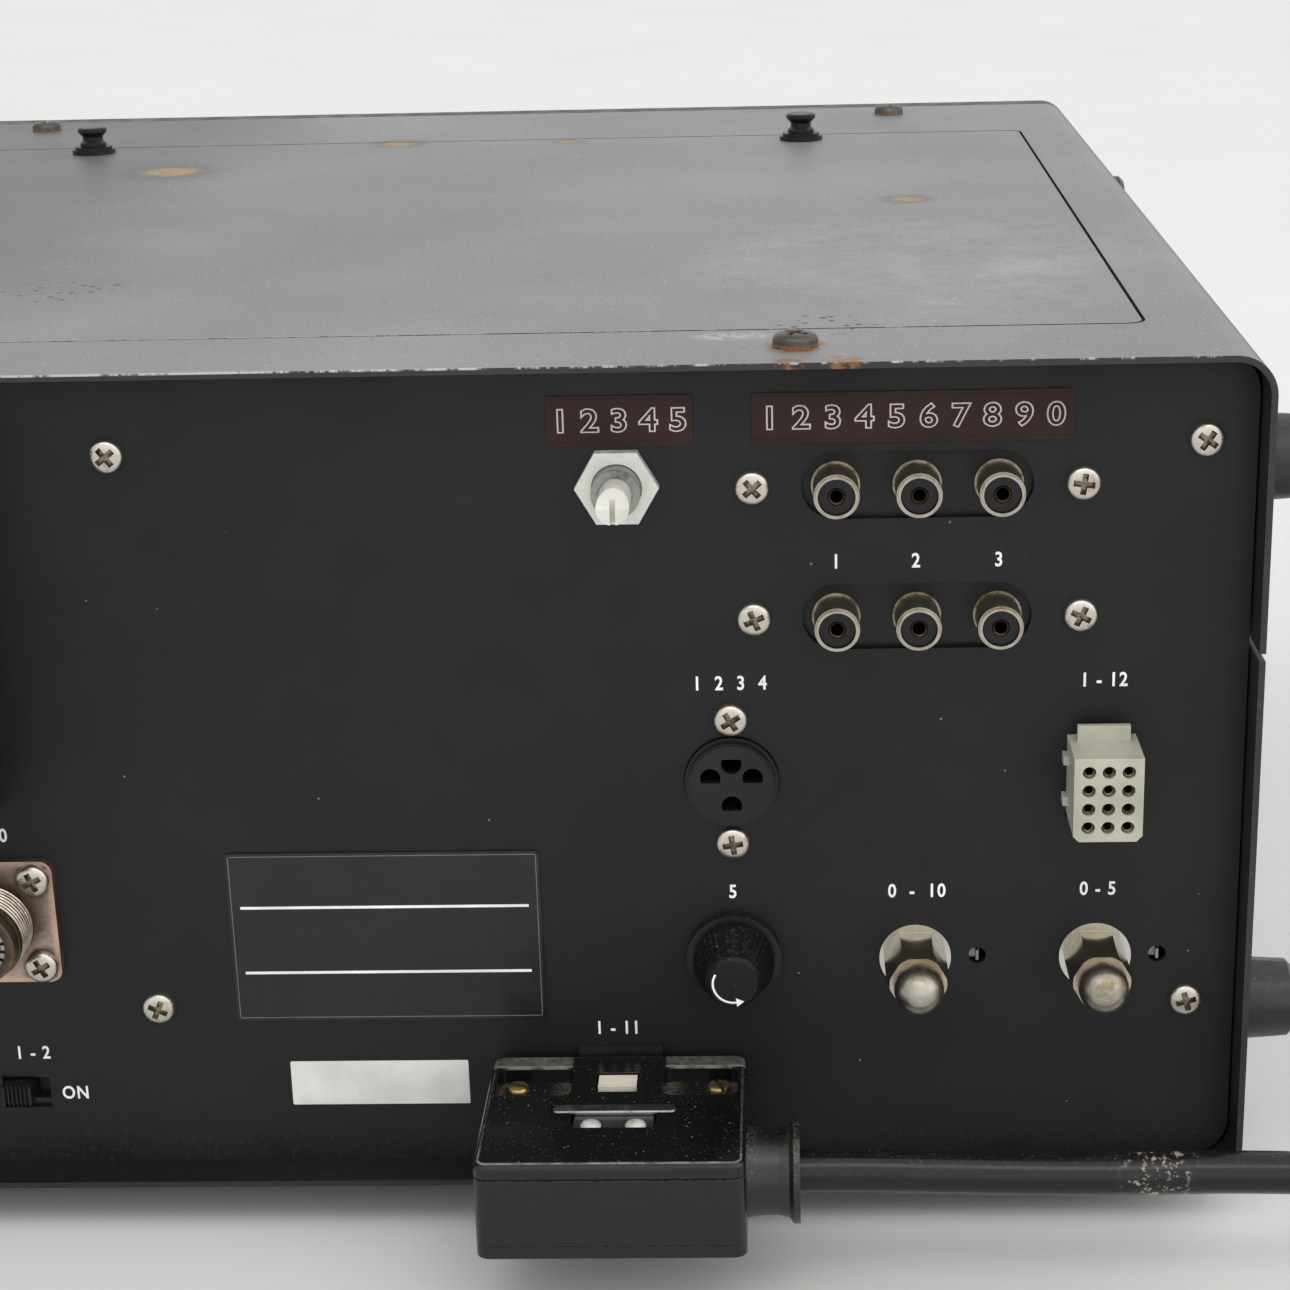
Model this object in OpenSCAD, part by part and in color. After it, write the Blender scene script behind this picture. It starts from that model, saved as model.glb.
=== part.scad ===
// Single-sideband transceiver with its power connector plugged in and its mains lead laid out.
// +Z is up, the front faces -Y, the rear panel faces +Y and the feet stand on Z = 0.
// Places on the rear panel are distances from the side on the right hand of someone behind the
// set (the -X side) or from the left (+X side), and heights above the covers' underside or
// drops below their top.

/* [Case] */
// Width over the covers
case_w = 360; // [345:1:400]
// Height over the covers, without the feet
case_h = 164; // [158:1:180]
// Depth of the covers
cover_d = 351; // [335:1:380]
// Thickness of the cover sheet
sheet = 1.2; // [1:0.1:1.6]
// Outer radius of the covers' long corners
corner_r = 7.5; // [5:0.5:10]
// Height where the bottom cover ends
split_h = 107; // [100:1:112]
// Gap between the two covers along their sides
split_gap = 1.5; // [0.5:0.1:3]
// How far the covers reach past the rear panel
recess = 8.5; // [6:0.5:12]
// Thickness of the rear panel
panel_t = 1.5; // [1:0.1:2]
// Depth of the rear panel's bent flanges
flange_d = 9; // [8:0.5:10]
// Clearance between sheet pieces that slide past each other
fit = 0.4; // [0.2:0.1:0.6]
// Thickness of the chassis sheet
chassis_t = 1.5; // [1:0.1:2]
// Height of the chassis deck
deck_h = 29; // [28:0.5:32]

/* [Lid] */
// Distance from the covers' side to the lid
lid_side = 20; // [16:1:30]
// Distance from the rear panel to the lid's rear edge
lid_back = 21; // [19:1:30]
// Depth of the lid
lid_d = 264; // [240:1:270]
// Radius of the lid's corners
lid_r = 3; // [2:0.5:8]
// Gap around the lid
lid_gap = 0.7; // [0.4:0.1:1.2]
// From the middle to the latches
latch_x = 99; // [80:1:120]
// From the lid's front edge to the latches
latch_in = 9.5; // [8:0.5:12]
// Diameter of a latch base
latch_d = 11.8; // [10:0.2:13]
// Diameter of a latch pin
latch_pin = 4.6; // [4:0.1:5]
// Diameter of a latch knob
latch_knob = 8; // [7:0.2:9]
// Height of a latch knob above its base
latch_h = 5.2; // [4:0.2:7]

/* [Feet and handle] */
// Height of the bottom feet
foot_h = 10; // [8:0.5:16]
// Diameter of the bottom feet
foot_d = 20; // [16:0.5:26]
// From the covers' sides to the bottom feet
foot_side = 35.5; // [25:0.5:45]
// From the rear panel to the rear feet
foot_back = 12.5; // [12:0.5:30]
// From the covers' front edge to the front feet
foot_front = 38; // [35:1:60]
// Diameter of the side feet
side_foot_d = 17; // [14:0.5:20]
// Length of the side feet
side_foot_l = 13; // [10:0.5:18]
// From the rear panel to the rear side feet
side_foot_back = 17; // [12:0.5:30]
// From the covers' front edge to the front side feet
side_foot_front = 32; // [20:1:50]
// Height of the lower side feet
side_foot_low = 27; // [20:0.5:35]
// Drop of the upper side feet below the covers' top
side_foot_drop = 25; // [20:0.5:35]
// Length of the carrying strap between its end caps' centres
strap_l = 180; // [150:1:220]
// Width of the carrying strap
strap_w = 22; // [16:1:26]
// Thickness of the carrying strap
strap_t = 3; // [2.5:0.5:6]
// Finger gap under the carrying strap
strap_gap = 7; // [6:0.5:12]
// Height of the carrying strap's middle
strap_h = 128; // [122:1:130]
// Length of each strap end cap
cap_l = 34; // [28:1:44]

/* [Screws] */
// Diameter of a machine screw's shank
screw_d = 3; // [2.5:0.1:3.5]
// Diameter of a machine screw's head
screw_head = 6; // [5:0.1:6.5]
// Height of a machine screw's head
screw_head_h = 2; // [1.5:0.1:2.5]
// Diameter of a cover screw's shank
cover_screw_d = 4; // [3.5:0.1:4.5]
// Diameter of a cover screw's head
cover_head = 8.4; // [7.5:0.1:9]
// Height of a cover screw's head
cover_head_h = 2.6; // [2:0.1:3]
// From the covers' sides to the outer panel screws
panel_screw_side = 10.9; // [9:0.1:11.5]
// Drop of the upper panel screws
panel_screw_drop = 17; // [15:0.5:20]
// Height of the lower panel screws
panel_screw_low = 35.4; // [34:0.2:40]
// From the right-hand side to the cage screws
cage_screw = 211.3; // [208:0.1:214]
// From the middle to the cover's rear screws
rear_screw_x = 95; // [80:1:110]
// From the middle to the cover's front screws
front_screw_x = 125.5; // [110:0.5:140]
// From the rear panel to the cover's rear screws
rear_screw_in = 5.6; // [5:0.1:6.5]
// From the covers' front edge to the cover's front screws
front_screw_in = 16.5; // [14:0.5:18]

/* [Phono jacks] */
// From the right-hand side to the middle jack
jack_s = 63.1; // [62:0.1:66]
// Distance between neighbouring jacks
jack_pitch = 14.9; // [14:0.1:15]
// Drop of the upper row of jacks
jack_drop = 24.8; // [24:0.1:28]
// Distance between the two rows
jack_rows = 25.2; // [24:0.1:30]
// Length of each slot in the panel
slot_l = 42.4; // [41:0.1:44]
// Height of each slot in the panel
slot_h = 12.7; // [12:0.1:14]
// Distance between the two screws of a jack strip
jack_screws = 60.3; // [58:0.1:62]
// Outside diameter of a jack shell
jack_d = 8.3; // [7.8:0.1:8.6]
// Bore of a jack shell
jack_bore = 6.8; // [6.2:0.1:7]
// Reach of a jack shell past the panel
jack_out = 8.5; // [7:0.1:10]

/* [Speed control] */
// From the right-hand side to the speed control
speed_s = 117.9; // [116:0.1:120]
// Drop of the speed control
speed_drop = 24.2; // [23:0.1:28]
// Diameter of its shaft
shaft_d = 6; // [5:0.1:6.4]
// Reach of its shaft past the panel
shaft_out = 16; // [14:0.5:20]
// Diameter of its bush
bush_d = 9; // [8.5:0.1:9.5]
// Reach of its bush past the panel
bush_out = 6.5; // [5:0.1:8]
// Width of its nut across the flats
nut_af = 13.4; // [12.5:0.1:14]
// Thickness of its nut
nut_t = 2.4; // [2:0.1:3]
// Diameter of its body
pot_d = 16.5; // [14:0.5:17]
// Depth of its body
pot_l = 11; // [8:0.5:14]
// Running clearance round a shaft, on the radius
run_fit = 0.08; // [0.05:0.01:0.1]

/* [Accessory socket] */
// From the right-hand side to the accessory socket
acc_s = 98; // [97:0.1:100]
// Height of the accessory socket
acc_h = 81.6; // [78:0.1:84]
// Diameter of its face
acc_d = 17.8; // [16:0.1:18.4]
// Distance between its two screws
acc_screws = 25; // [24:0.1:26]
// From its middle to its upper and lower contact slots
acc_slot_r = 4.2; // [4:0.1:4.8]

/* [Fuse holder] */
// From the right-hand side to the fuse holder
fuse_s = 98.2; // [97:0.1:100]
// Height of the fuse holder
fuse_h = 45.4; // [44:0.1:48]
// Diameter of its base ring
fuse_ring_d = 18.4; // [17:0.1:19]
// Diameter of its body behind the panel
fuse_body_d = 13; // [12:0.1:14]
// Length of its body behind the panel
fuse_body_l = 38; // [34:0.5:42]
// Diameter of the cap at its foot
fuse_cap_d = 15.2; // [14.5:0.1:16.8]
// Diameter of the cap's face
fuse_face_d = 10.4; // [10:0.1:12]
// Reach of the cap past the panel
fuse_out = 13; // [12:0.1:16]

/* [Remote connector] */
// From the right-hand side to the connector's middle
con_s = 28.4; // [27.5:0.1:29.5]
// Height of the connector's middle
con_h = 81.9; // [80:0.1:84]
// Width of its housing
con_w = 12.8; // [12:0.1:13.4]
// Height of its housing
con_height = 16.4; // [16:0.1:17]
// Reach of its housing past the panel
con_out = 13; // [11:0.1:15]
// Distance between its contacts
con_pitch = 3.64; // [3.5:0.02:3.8]
// Diameter of its contact holes
con_hole = 2.5; // [2.2:0.1:2.8]

/* [Adjusters] */
// From the right-hand side to the left adjuster
adj_a = 63.2; // [62:0.1:64]
// From the right-hand side to the right adjuster
adj_b = 28.6; // [28:0.1:29]
// Height of both adjusters
adj_h = 44.8; // [43:0.1:47]
// From an adjuster's axis to the locating tab
adj_tab = 12; // [11.8:0.1:12.4]
// Diameter of an adjuster's bush
adj_bush = 7; // [6.5:0.1:7.4]
// Diameter of an adjuster's shaft
adj_shaft = 3.2; // [3:0.1:3.6]
// Diameter of the washer under a cap nut
washer_d = 13.8; // [13:0.1:14.4]
// Width of a cap nut across the flats
cap_af = 10.4; // [10:0.1:11]
// Reach of a cap nut past the panel
dome_out = 19.8; // [19:0.1:21]
// Diameter of an adjuster's body
adj_can = 16; // [14:0.5:17]

/* [Antenna socket] */
// From the left-hand side to the antenna socket
ant_left = 118; // [116:0.1:120]
// Height of the antenna socket
ant_h = 54.6; // [53:0.1:57]
// Width of its square flange
ant_flange = 25.4; // [25:0.1:26]
// Distance between its screw holes
ant_pitch = 18.2; // [17.8:0.1:18.6]
// Outside diameter of its barrel
ant_d = 16; // [15:0.1:16.4]
// Bore of its barrel
ant_bore = 11.6; // [11:0.1:12]
// Reach of its barrel past the panel
ant_out = 14; // [12:0.5:18]

/* [Slide switch] */
// From the left-hand side to the switch window's middle
slide_left = 120.5; // [118:0.1:122]
// Height of the switch window's middle
slide_h = 17; // [15:0.1:18]
// Width of the switch window
slide_w = 9.5; // [9:0.1:11]
// Height of the switch window
slide_window_h = 7.1; // [6:0.1:8]
// Width of the sliding knob
knob_w = 5.8; // [5:0.1:6]
// Height of the sliding knob
knob_h = 4; // [3.4:0.1:5]
// Reach of the knob past the panel
slide_out = 2.4; // [1.5:0.1:4]

/* [Fan] */
// From the left-hand side to the fan's middle
fan_left = 81.5; // [78:0.5:84]
// Drop of the fan's middle below the covers' top
fan_drop = 49; // [48:0.5:52]
// Width of the fan's square frame
fan_w = 80; // [76:0.5:80]
// Depth of the fan's frame
fan_d = 25; // [22:0.5:30]
// Bore of the fan's frame
fan_bore = 75; // [70:0.5:75]
// Distance between the fan's screws
fan_pitch = 71.5; // [68:0.5:71.5]
// Number of rotor blades
blades = 7; // [5:1:9]

/* [Power connector] */
// From the right-hand side to the connector's middle
plug_s = 120.8; // [118:0.1:124]
// Height of its hood's underside
plug_low = 5.8; // [5.4:0.1:7]
// Width of its hood
plug_w = 49.8; // [46:0.2:54]
// Height of its hood
plug_h = 19.3; // [18:0.1:20]
// Depth of its hood
plug_d = 43; // [39:0.5:46]
// Gap between the hood and the panel
plug_gap = 2; // [1.6:0.1:4]
// Thickness of the hood's separate bottom
plug_base_t = 2.6; // [2:0.1:3.5]
// Width of the raised block over the latch
block_w = 17.4; // [16:0.2:19]
// From the hood's rear edge to the back of the sunk ledges beside the block
well_back = 5.3; // [4:0.1:6]
// From the hood's rear edge to the front of the sunk ledges
well_d = 16.8; // [16:0.2:18]
// From its middle to the hood's screws
plug_screw_x = 19.4; // [18.8:0.1:20]
// From the hood's rear edge to its screws
plug_screw_in = 10.3; // [9:0.1:11]

/* [Mains lead] */
// Diameter of the lead
cord_d = 8; // [7:0.1:8]
// From the panel where it leaves the hood to the lead
cord_out = 31; // [28:0.5:33]
// Height of the lead above the hood's underside
cord_up = 9.8; // [9.4:0.1:10.2]
// Length of the rubber bush
bush_len = 9.8; // [9:0.1:13]
// Diameter of the rubber bush at its waist
waist_d = 16; // [15:0.1:18]
// Diameter of the rubber bush's end flange
flange_dia = 19.2; // [18.4:0.1:22]
// Outer radius of the coil's path
coil_r = 58; // [54:1:64]
// Number of turns in the coil
turns = 5.25; // [4.25:1:5.25]
// Length of the lead between the coil and the mains plug
lead_out = 46; // [44:1:70]
// Width of the mains plug
mains_w = 30; // [26:0.5:34]
// Length of the mains plug's body
mains_l = 38; // [32:0.5:45]

/* [Front] */
// Depth of the front frame
frame_d = 8; // [7:0.5:14]
// Thickness of the front panel
front_t = 3; // [2:0.1:4]
// Width of the front frame's border
border = 9; // [7:0.5:12]
// From the middle to the tuning knob
tune_x = 20; // [15:1:25]
// Height of the tuning knob
tune_h = 86; // [84:0.5:88]
// Diameter of the tuning knob
tune_d = 60; // [50:0.5:64]
// Length of the tuning knob
tune_l = 27; // [24:0.5:32]
// Diameter of the dial disc
dial_d = 106; // [100:1:108]
// Width of the dial's window
dial_w = 64; // [50:1:70]
// Height of the dial window's middle
dial_up = 43; // [42:0.5:45]
// From the middle to the meter
meter_x = -115; // [-118:1:-112]
// Drop of the meter's middle
meter_drop = 44; // [42:0.5:48]
// Width of the meter
meter_w = 66; // [60:0.5:70]
// Height of the meter
meter_h = 42; // [38:0.5:46]
// Depth of the meter's case
meter_d = 26; // [20:0.5:32]
// Diameter of the small knobs
small_knob = 24; // [20:0.5:28]
// Length of the small knobs
small_knob_l = 17; // [14:0.5:20]
// From the middle to the right-hand knobs
switch_x = 126; // [120:1:130]
// Height of the lower row of knobs
row_h = 44; // [42:0.5:50]
// Drop of the upper right knob
band_drop = 50; // [44:0.5:54]
// From the middle to the preselector knob
presel_x = -72; // [-76:1:-70]
// From the middle to the gain knob
gain_x = -112; // [-116:1:-108]
// From the middle to the power button and microphone socket
button_x = -148; // [-152:1:-144]
// Height of the power button
button_h = 60; // [56:0.5:64]
// Height of the microphone socket
mic_h = 40; // [39.5:0.5:42]

/* [Inside] */
// Depth of the output cage
cage_d = 120; // [100:1:130]
// Width of the output cage
cage_w = 140; // [132:0.5:140.5]
// Width of the oscillator box
vfo_w = 84; // [76:1:88]
// Depth of the oscillator box
vfo_d = 90; // [70:1:110]
// Height of the oscillator box
vfo_h = 92; // [80:1:96]
// Width of the mains transformer
trafo_w = 84; // [70:1:90]
// Height of the mains transformer
trafo_h = 88; // [70:1:94]
// Width of the signal board
board_w = 170; // [150:1:172]
// Depth of the signal board
board_d = 150; // [120:1:156]

/* [Hidden] */
$fn = 64;

// Clearances
screw_fit = 0.15;
slide_fit = 0.35;
end_gap = 0.1;
lid_seat = 0.1;
eps = 0.01;

// Small details
tab_w = 22;
tab_l = 7;
jack_pin = 3.3;
acc_slot_d = 3.9;
acc_side_x = 4;
acc_side_y = 1.4;
acc_rim_t = 0.9;
acc_out = 2.4;
con_tab_w = 9.8;
con_tab_h = 3.1;
con_tab_out = 3.9;
con_ear = 0.9;
adj_hole = 3.4;
ant_contact = 4.1;
ant_deep = 10;
blade_gap = 1.5;
guard_d = 2;
spindle_d = 4;
tie_w = 5;
tie_t = 0.8;
washer_t = 0.8;
ledge_w = 6;
ledge_front = 19;
latch_base = 2;
cap_wall = 3;
strip_t = 1.6;
jack_collar = 9;
core_in = 0.7;
fuse_ring_t = 2.6;
fuse_ribs = 40;
rib_t = 0.6;
rib_h = 0.2;
link_d = 6.3;
cap_hex = 11.8;
dome_d = 9.4;
ant_flange_t = 2;
ant_corner = 2.4;
hub_d = 36;
plug_r = 2.5;
plug_wall = 2.4;
well_drop = 3.3;
plug_edge = 1.4;
plug_head = 4.6;
plug_head_h = 2.3;
thumb_w = 7.4;
tongue_w = 34;
tongue_h = 6;
tongue_up = 7;
tongue_l = 11;
turn_gap = 0.8;
pin_d = 4;
pin_l = 19;
pin_pitch = 18;
knob_gap = 1.2;
dial_window_h = 15;
button_w = 10;
mic_d = 16;
cage_drop = 8;
tube_d = 38;
tube_h = 84;
trafo_d = 40;
trafo_side = 16;
trafo_in = 50;
board_up = 12;
board_t = 1.6;
board_side = 14;
board_in = 46;
con_in = 12;
acc_l = 14;
adj_can_l = 10;
pane_t = 2;

// Reach of the set behind the rear panel's face and in front of it
rear_reach = max(fan_d + guard_d, dome_out, shaft_out, ant_out, fuse_out);
front_face_in = cover_d - recess + front_t;
front_reach = front_face_in + knob_gap + tune_l;
strap_reach = strap_gap + strap_t + cap_wall;

// Middle of the case, the rear panel's face, and the ends of the covers
case_x = (side_foot_l - strap_reach) / 2;
rear_y = (front_reach - rear_reach) / 2;
cover_back = rear_y + recess;
cover_front = cover_back - cover_d;
front_y = cover_front - front_t;
top_z = foot_h + case_h;
inner_w = case_w - 2 * (sheet + fit);

// Places that several pieces share
lid_w = case_w - 2 * lid_side;
lid_rear_y = rear_y - lid_back;
lid_front_y = lid_rear_y - lid_d;
latch_y = lid_front_y + latch_in;
lid_t = sheet - lid_seat;
latch_hole = latch_pin / 2 + run_fit;
hole_r = screw_d / 2 + screw_fit;
ant_s = case_w - ant_left;
slide_s = case_w - slide_left;
fan_s = case_w - fan_left;
jack_h = case_h - jack_drop;
speed_h = case_h - speed_drop;
fan_h = case_h - fan_drop;
meter_up = case_h - meter_drop;
band_h = case_h - band_drop;
deck_z = foot_h + deck_h + chassis_t;
knob_hole = shaft_d / 2 + run_fit;
cage_x = cage_screw - 6;

function from_right(s) = case_x - case_w / 2 + s;
function jack_row(i) = jack_h - i * jack_rows;

// Shared shapes

// Rectangle standing on y = 0, centred on x, with round corners
module round_rect(w, h, r) {
    translate([-w / 2 + r, 0]) square([w - 2 * r, h]);
    translate([-w / 2, r]) square([w, h - 2 * r]);
    for (x = [-w / 2 + r, w / 2 - r], y = [r, h - r])
        translate([x, y]) circle(r);
}

// Slot with round ends along x, centred
module slot(l, h) {
    square([l - h, h], center = true);
    for (x = [-1, 1])
        translate([x * (l - h) / 2, 0]) circle(d = h);
}

// Children in the rear panel's view: x to the right hand, y up, z out of the panel
module on_rear(s, h, out = 0) {
    translate([from_right(s), rear_y + out, foot_h + h]) rotate([90, 0, 180]) children();
}

// Children in the front panel's view: x to the right hand, y up, z out of the panel
module on_front(x, h, out = 0) {
    translate([case_x + x, front_y - out, foot_h + h]) rotate([90, 0, 0]) children();
}

// Section drawn across the case and run forward from y_back
module along_case(y_back, length) {
    translate([case_x, y_back, foot_h]) rotate([90, 0, 0]) linear_extrude(length) children();
}

// Round hole through the rear panel
module drill(s, h, d) {
    on_rear(s, h, -panel_t - 1) cylinder(d = d, h = panel_t + 2);
}

// Rectangular hole through the rear panel
module cut_out(s, h, w, l) {
    on_rear(s, h, -panel_t - 1) cube_on(w, l, panel_t + 2);
}

// Four screw holes on a square, from z = -1 upwards
module four_holes(pitch, h) {
    for (i = [-1, 1], j = [-1, 1])
        translate([i * pitch / 2, j * pitch / 2, -1]) cylinder(r = hole_r, h = h + 2);
}

// Holes for the covers' screws from z upwards
module cover_screw_holes(z, h) {
    for (d = [-1, 1], p = cover_screw_places)
        translate([case_x + d * p[0], p[1], z]) cylinder(d = cover_screw_d + 2 * screw_fit, h = h);
}

// Block centred on x and y, standing on z = 0
module cube_on(w, h, d) {
    translate([-w / 2, -h / 2, 0]) cube([w, h, d]);
}

// Block given by its two corners
module block(a, b) {
    translate(a) cube(b - a);
}

// Pan-head screw whose head sits on z = 0 and whose shank runs down
module screw(shank, d = screw_d, head = screw_head, head_h = screw_head_h) {
    r = head / 2;
    rotate_extrude() polygon([
        [0, -shank], [d / 2, -shank], [d / 2, 0], [r, 0],
        [r, head_h * 0.55], [r * 0.88, head_h * 0.88], [r * 0.55, head_h], [0, head_h]
    ]);
}

// Section of the two covers together
module cover_section() {
    difference() {
        round_rect(case_w, case_h, corner_r);
        translate([0, sheet]) round_rect(case_w - 2 * sheet, case_h - 2 * sheet, corner_r - sheet);
    }
}

// Places of the screws, each a list of [distance from the right, height]
panel_screw_places = [
    for (s = [panel_screw_side, cage_screw, case_w - panel_screw_side],
         h = [case_h - panel_screw_drop, panel_screw_low]) [s, h]
];
jack_screw_places = [
    for (i = [0, 1], d = [-1, 1]) [jack_s + d * jack_screws / 2, jack_row(i)]
];
cover_screw_places = [
    [rear_screw_x, rear_y - rear_screw_in], [front_screw_x, cover_front + front_screw_in]
];
acc_screw_places = [for (d = [-1, 1]) [acc_s, acc_h + d * acc_screws / 2]];
function square_places(s, h, pitch) =
    [for (i = [-1, 1], j = [-1, 1]) [s + i * pitch / 2, h + j * pitch / 2]];
ant_screw_places = square_places(ant_s, ant_h, ant_pitch);
fan_screw_places = square_places(fan_s, fan_h, fan_pitch);

// Case

// Deck with a wall on each side and a narrow flange behind the rear panel
module chassis() {
    wall_low = foot_h + corner_r;
    wall_top = top_z - corner_r;
    flange = panel_screw_side + 2 - sheet - fit;
    back = rear_y - panel_t;
    color("silver") difference() {
        union() {
            block([case_x - inner_w / 2, cover_front, foot_h + deck_h],
                  [case_x + inner_w / 2, back, deck_z]);
            for (side = [0, 1]) mirror_case(side) {
                block([case_x - inner_w / 2, cover_front, wall_low],
                      [case_x - inner_w / 2 + chassis_t, back, wall_top]);
                block([case_x - inner_w / 2, back - chassis_t, wall_low],
                      [case_x - inner_w / 2 + flange, back, wall_top]);
            }
        }
        for (p = panel_screw_places)
            on_rear(p[0], p[1], -panel_t - chassis_t - 1) cylinder(r = hole_r, h = chassis_t + 2);
    }
}

// Children as they are, or mirrored over the case's middle
module mirror_case(side) {
    if (side == 0) children();
    else translate([2 * case_x, 0, 0]) mirror([1, 0, 0]) children();
}

// Black rear plate with a flange bent forward at its top and foot, cut for all that it carries
module rear_panel() {
    plate_h = case_h - 2 * sheet;
    color([0.09, 0.09, 0.1]) difference() {
        union() {
            translate([0, 0, sheet]) along_case(rear_y, panel_t)
                round_rect(inner_w, plate_h, corner_r);
            for (z = [foot_h + sheet, top_z - sheet - panel_t])
                block([case_x - inner_w / 2 + 2 * corner_r, rear_y - panel_t - flange_d, z],
                      [case_x + inner_w / 2 - 2 * corner_r, rear_y - panel_t, z + panel_t]);
        }
        for (p = concat(panel_screw_places, jack_screw_places, acc_screw_places,
                        ant_screw_places, fan_screw_places))
            drill(p[0], p[1], 2 * hole_r);
        for (i = [0, 1])
            on_rear(jack_s, jack_row(i), -panel_t - 1) linear_extrude(panel_t + 2) slot(slot_l, slot_h);
        drill(speed_s, speed_h, bush_d + 2 * fit);
        drill(acc_s, acc_h, acc_d + fit);
        drill(fuse_s, fuse_h, fuse_body_d + fit);
        drill(ant_s, ant_h, ant_bore + fit);
        drill(fan_s, fan_h, fan_bore);
        for (s = [adj_a, adj_b]) {
            drill(s, adj_h, adj_bush + fit);
            drill(s - adj_tab, adj_h, adj_hole);
        }
        cut_out(con_s, con_h, con_w + 2 * screw_fit, con_height + 2 * screw_fit);
        cut_out(slide_s, slide_h, slide_w, slide_window_h);
        cut_out(plug_s, plug_low + tongue_up, tongue_w + fit, tongue_h + fit);
        cover_screw_holes(foot_h, panel_t + sheet + 1);
        cover_screw_holes(top_z - sheet - panel_t - 1, panel_t + 2);
    }
}

// Lid's outline, grown by g
module lid_outline(g) {
    translate([case_x, lid_front_y - g])
        round_rect(lid_w + 2 * g, lid_d + 2 * g, lid_r + g);
}

// Upper cover: top and half sides from one sheet, with a sunk ledge for the lid
module top_cover() {
    lid_top = top_z - sheet;
    side_low = split_h + split_gap;
    color([0.33, 0.34, 0.34]) difference() {
        union() {
            along_case(cover_back, cover_d) intersection() {
                cover_section();
                translate([-case_w / 2, side_low]) square([case_w, case_h - side_low]);
            }
            translate([0, 0, lid_top - sheet]) linear_extrude(sheet) difference() {
                lid_outline(ledge_w);
                translate([case_x, lid_front_y + ledge_front])
                    round_rect(lid_w - 2 * ledge_w, lid_d + 2 * ledge_w, lid_r);
                translate([case_x - case_w / 2, lid_rear_y - ledge_w])
                    square([case_w, 3 * ledge_w]);
            }
        }
        translate([0, 0, lid_top]) linear_extrude(sheet + 1) lid_outline(lid_gap);
        for (d = [-1, 1])
            translate([case_x + d * latch_x, latch_y, lid_top - 2 * sheet])
                cylinder(r = latch_hole + fit, h = 2 * sheet);
        cover_screw_holes(lid_top - 1, sheet + 2);
    }
}

// Lower cover: floor and half sides, drilled for its feet and screws
module bottom_cover() {
    color([0.2, 0.21, 0.21]) difference() {
        along_case(cover_back, cover_d) intersection() {
            cover_section();
            translate([-case_w / 2, 0]) square([case_w, split_h]);
        }
        cover_screw_holes(foot_h - 1, sheet + 2);
        // Cooling slots under the set
        for (i = [-4:4])
            translate([case_x + i * 26, (cover_front + rear_y) / 2, foot_h - 1])
                rotate([0, 0, 90]) linear_extrude(sheet + 2) slot(90, 8);
    }
}

// Cast frame round the front panel, with a lip under each cover for its screws
module front_frame() {
    lip = 2.5;
    lip_d = front_screw_in + 7;
    lip_w = case_w - 4 * corner_r;
    color([0.16, 0.16, 0.17]) difference() {
        union() {
            along_case(cover_front, frame_d) round_rect(case_w, case_h, corner_r);
            for (z = [foot_h + sheet, top_z - sheet - lip])
                block([case_x - lip_w / 2, cover_front, z],
                      [case_x + lip_w / 2, cover_front + lip_d, z + lip]);
        }
        translate([0, 0, border]) along_case(cover_front + 1, frame_d + 2)
            round_rect(case_w - 2 * border, case_h - 2 * border, corner_r);
        translate([0, 0, border / 2 - fit]) along_case(cover_front + eps, front_t + eps)
            round_rect(case_w - border + 2 * fit, case_h - border + 2 * fit, corner_r);
        cover_screw_holes(foot_h, lip + sheet + 1);
        cover_screw_holes(top_z - sheet - lip - 1, lip + 2);
    }
}

// Satin plate that the front controls pass through
module front_panel() {
    through = front_t + 2;
    color([0.72, 0.72, 0.7]) difference() {
        translate([0, 0, border / 2]) along_case(cover_front, front_t)
            round_rect(case_w - border, case_h - border, corner_r);
        for (p = front_knob_places)
            on_front(p[0], p[1], -front_t - 1) cylinder(r = knob_hole, h = through);
        on_front(tune_x, tune_h + dial_up, -front_t - 1)
            linear_extrude(through) translate([0, -dial_window_h / 2])
                round_rect(dial_w, dial_window_h, 3);
        on_front(meter_x, meter_up, -front_t - 1)
            linear_extrude(through) translate([0, -meter_h / 2 + meter_rim])
                round_rect(meter_w - 2 * meter_rim, meter_h - 2 * meter_rim, 3);
        on_front(button_x, button_h, -front_t - 1)
            translate([0, 0, through / 2])
                cube([button_w + 2 * fit, button_w + 2 * fit, through], center = true);
        on_front(button_x, mic_h, -front_t - 1) cylinder(d = mic_d + 2 * screw_fit, h = through);
    }
}

meter_rim = 3;
front_knob_places = [
    [tune_x, tune_h], [switch_x, band_h], [switch_x, row_h], [presel_x, row_h], [gain_x, row_h]
];

// Lid and its latches

// Flush lid whose two rear tabs hook under the cover
module top_lid() {
    low = top_z - lid_t;
    tab_top = top_z - sheet - fit;
    color([0.36, 0.37, 0.37]) difference() {
        union() {
            translate([0, 0, low]) linear_extrude(lid_t) lid_outline(0);
            for (d = [-1, 1]) {
                x = case_x + d * lid_w / 3 - tab_w / 2;
                block([x, lid_rear_y - tab_l, tab_top - sheet], [x + tab_w, lid_rear_y + tab_l, tab_top]);
                block([x, lid_rear_y - tab_l, tab_top - eps], [x + tab_w, lid_rear_y - 1, low + eps]);
            }
        }
        for (d = [-1, 1])
            translate([case_x + d * latch_x, latch_y, low - 1])
                cylinder(r = latch_hole, h = lid_t + 2);
    }
}

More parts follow.
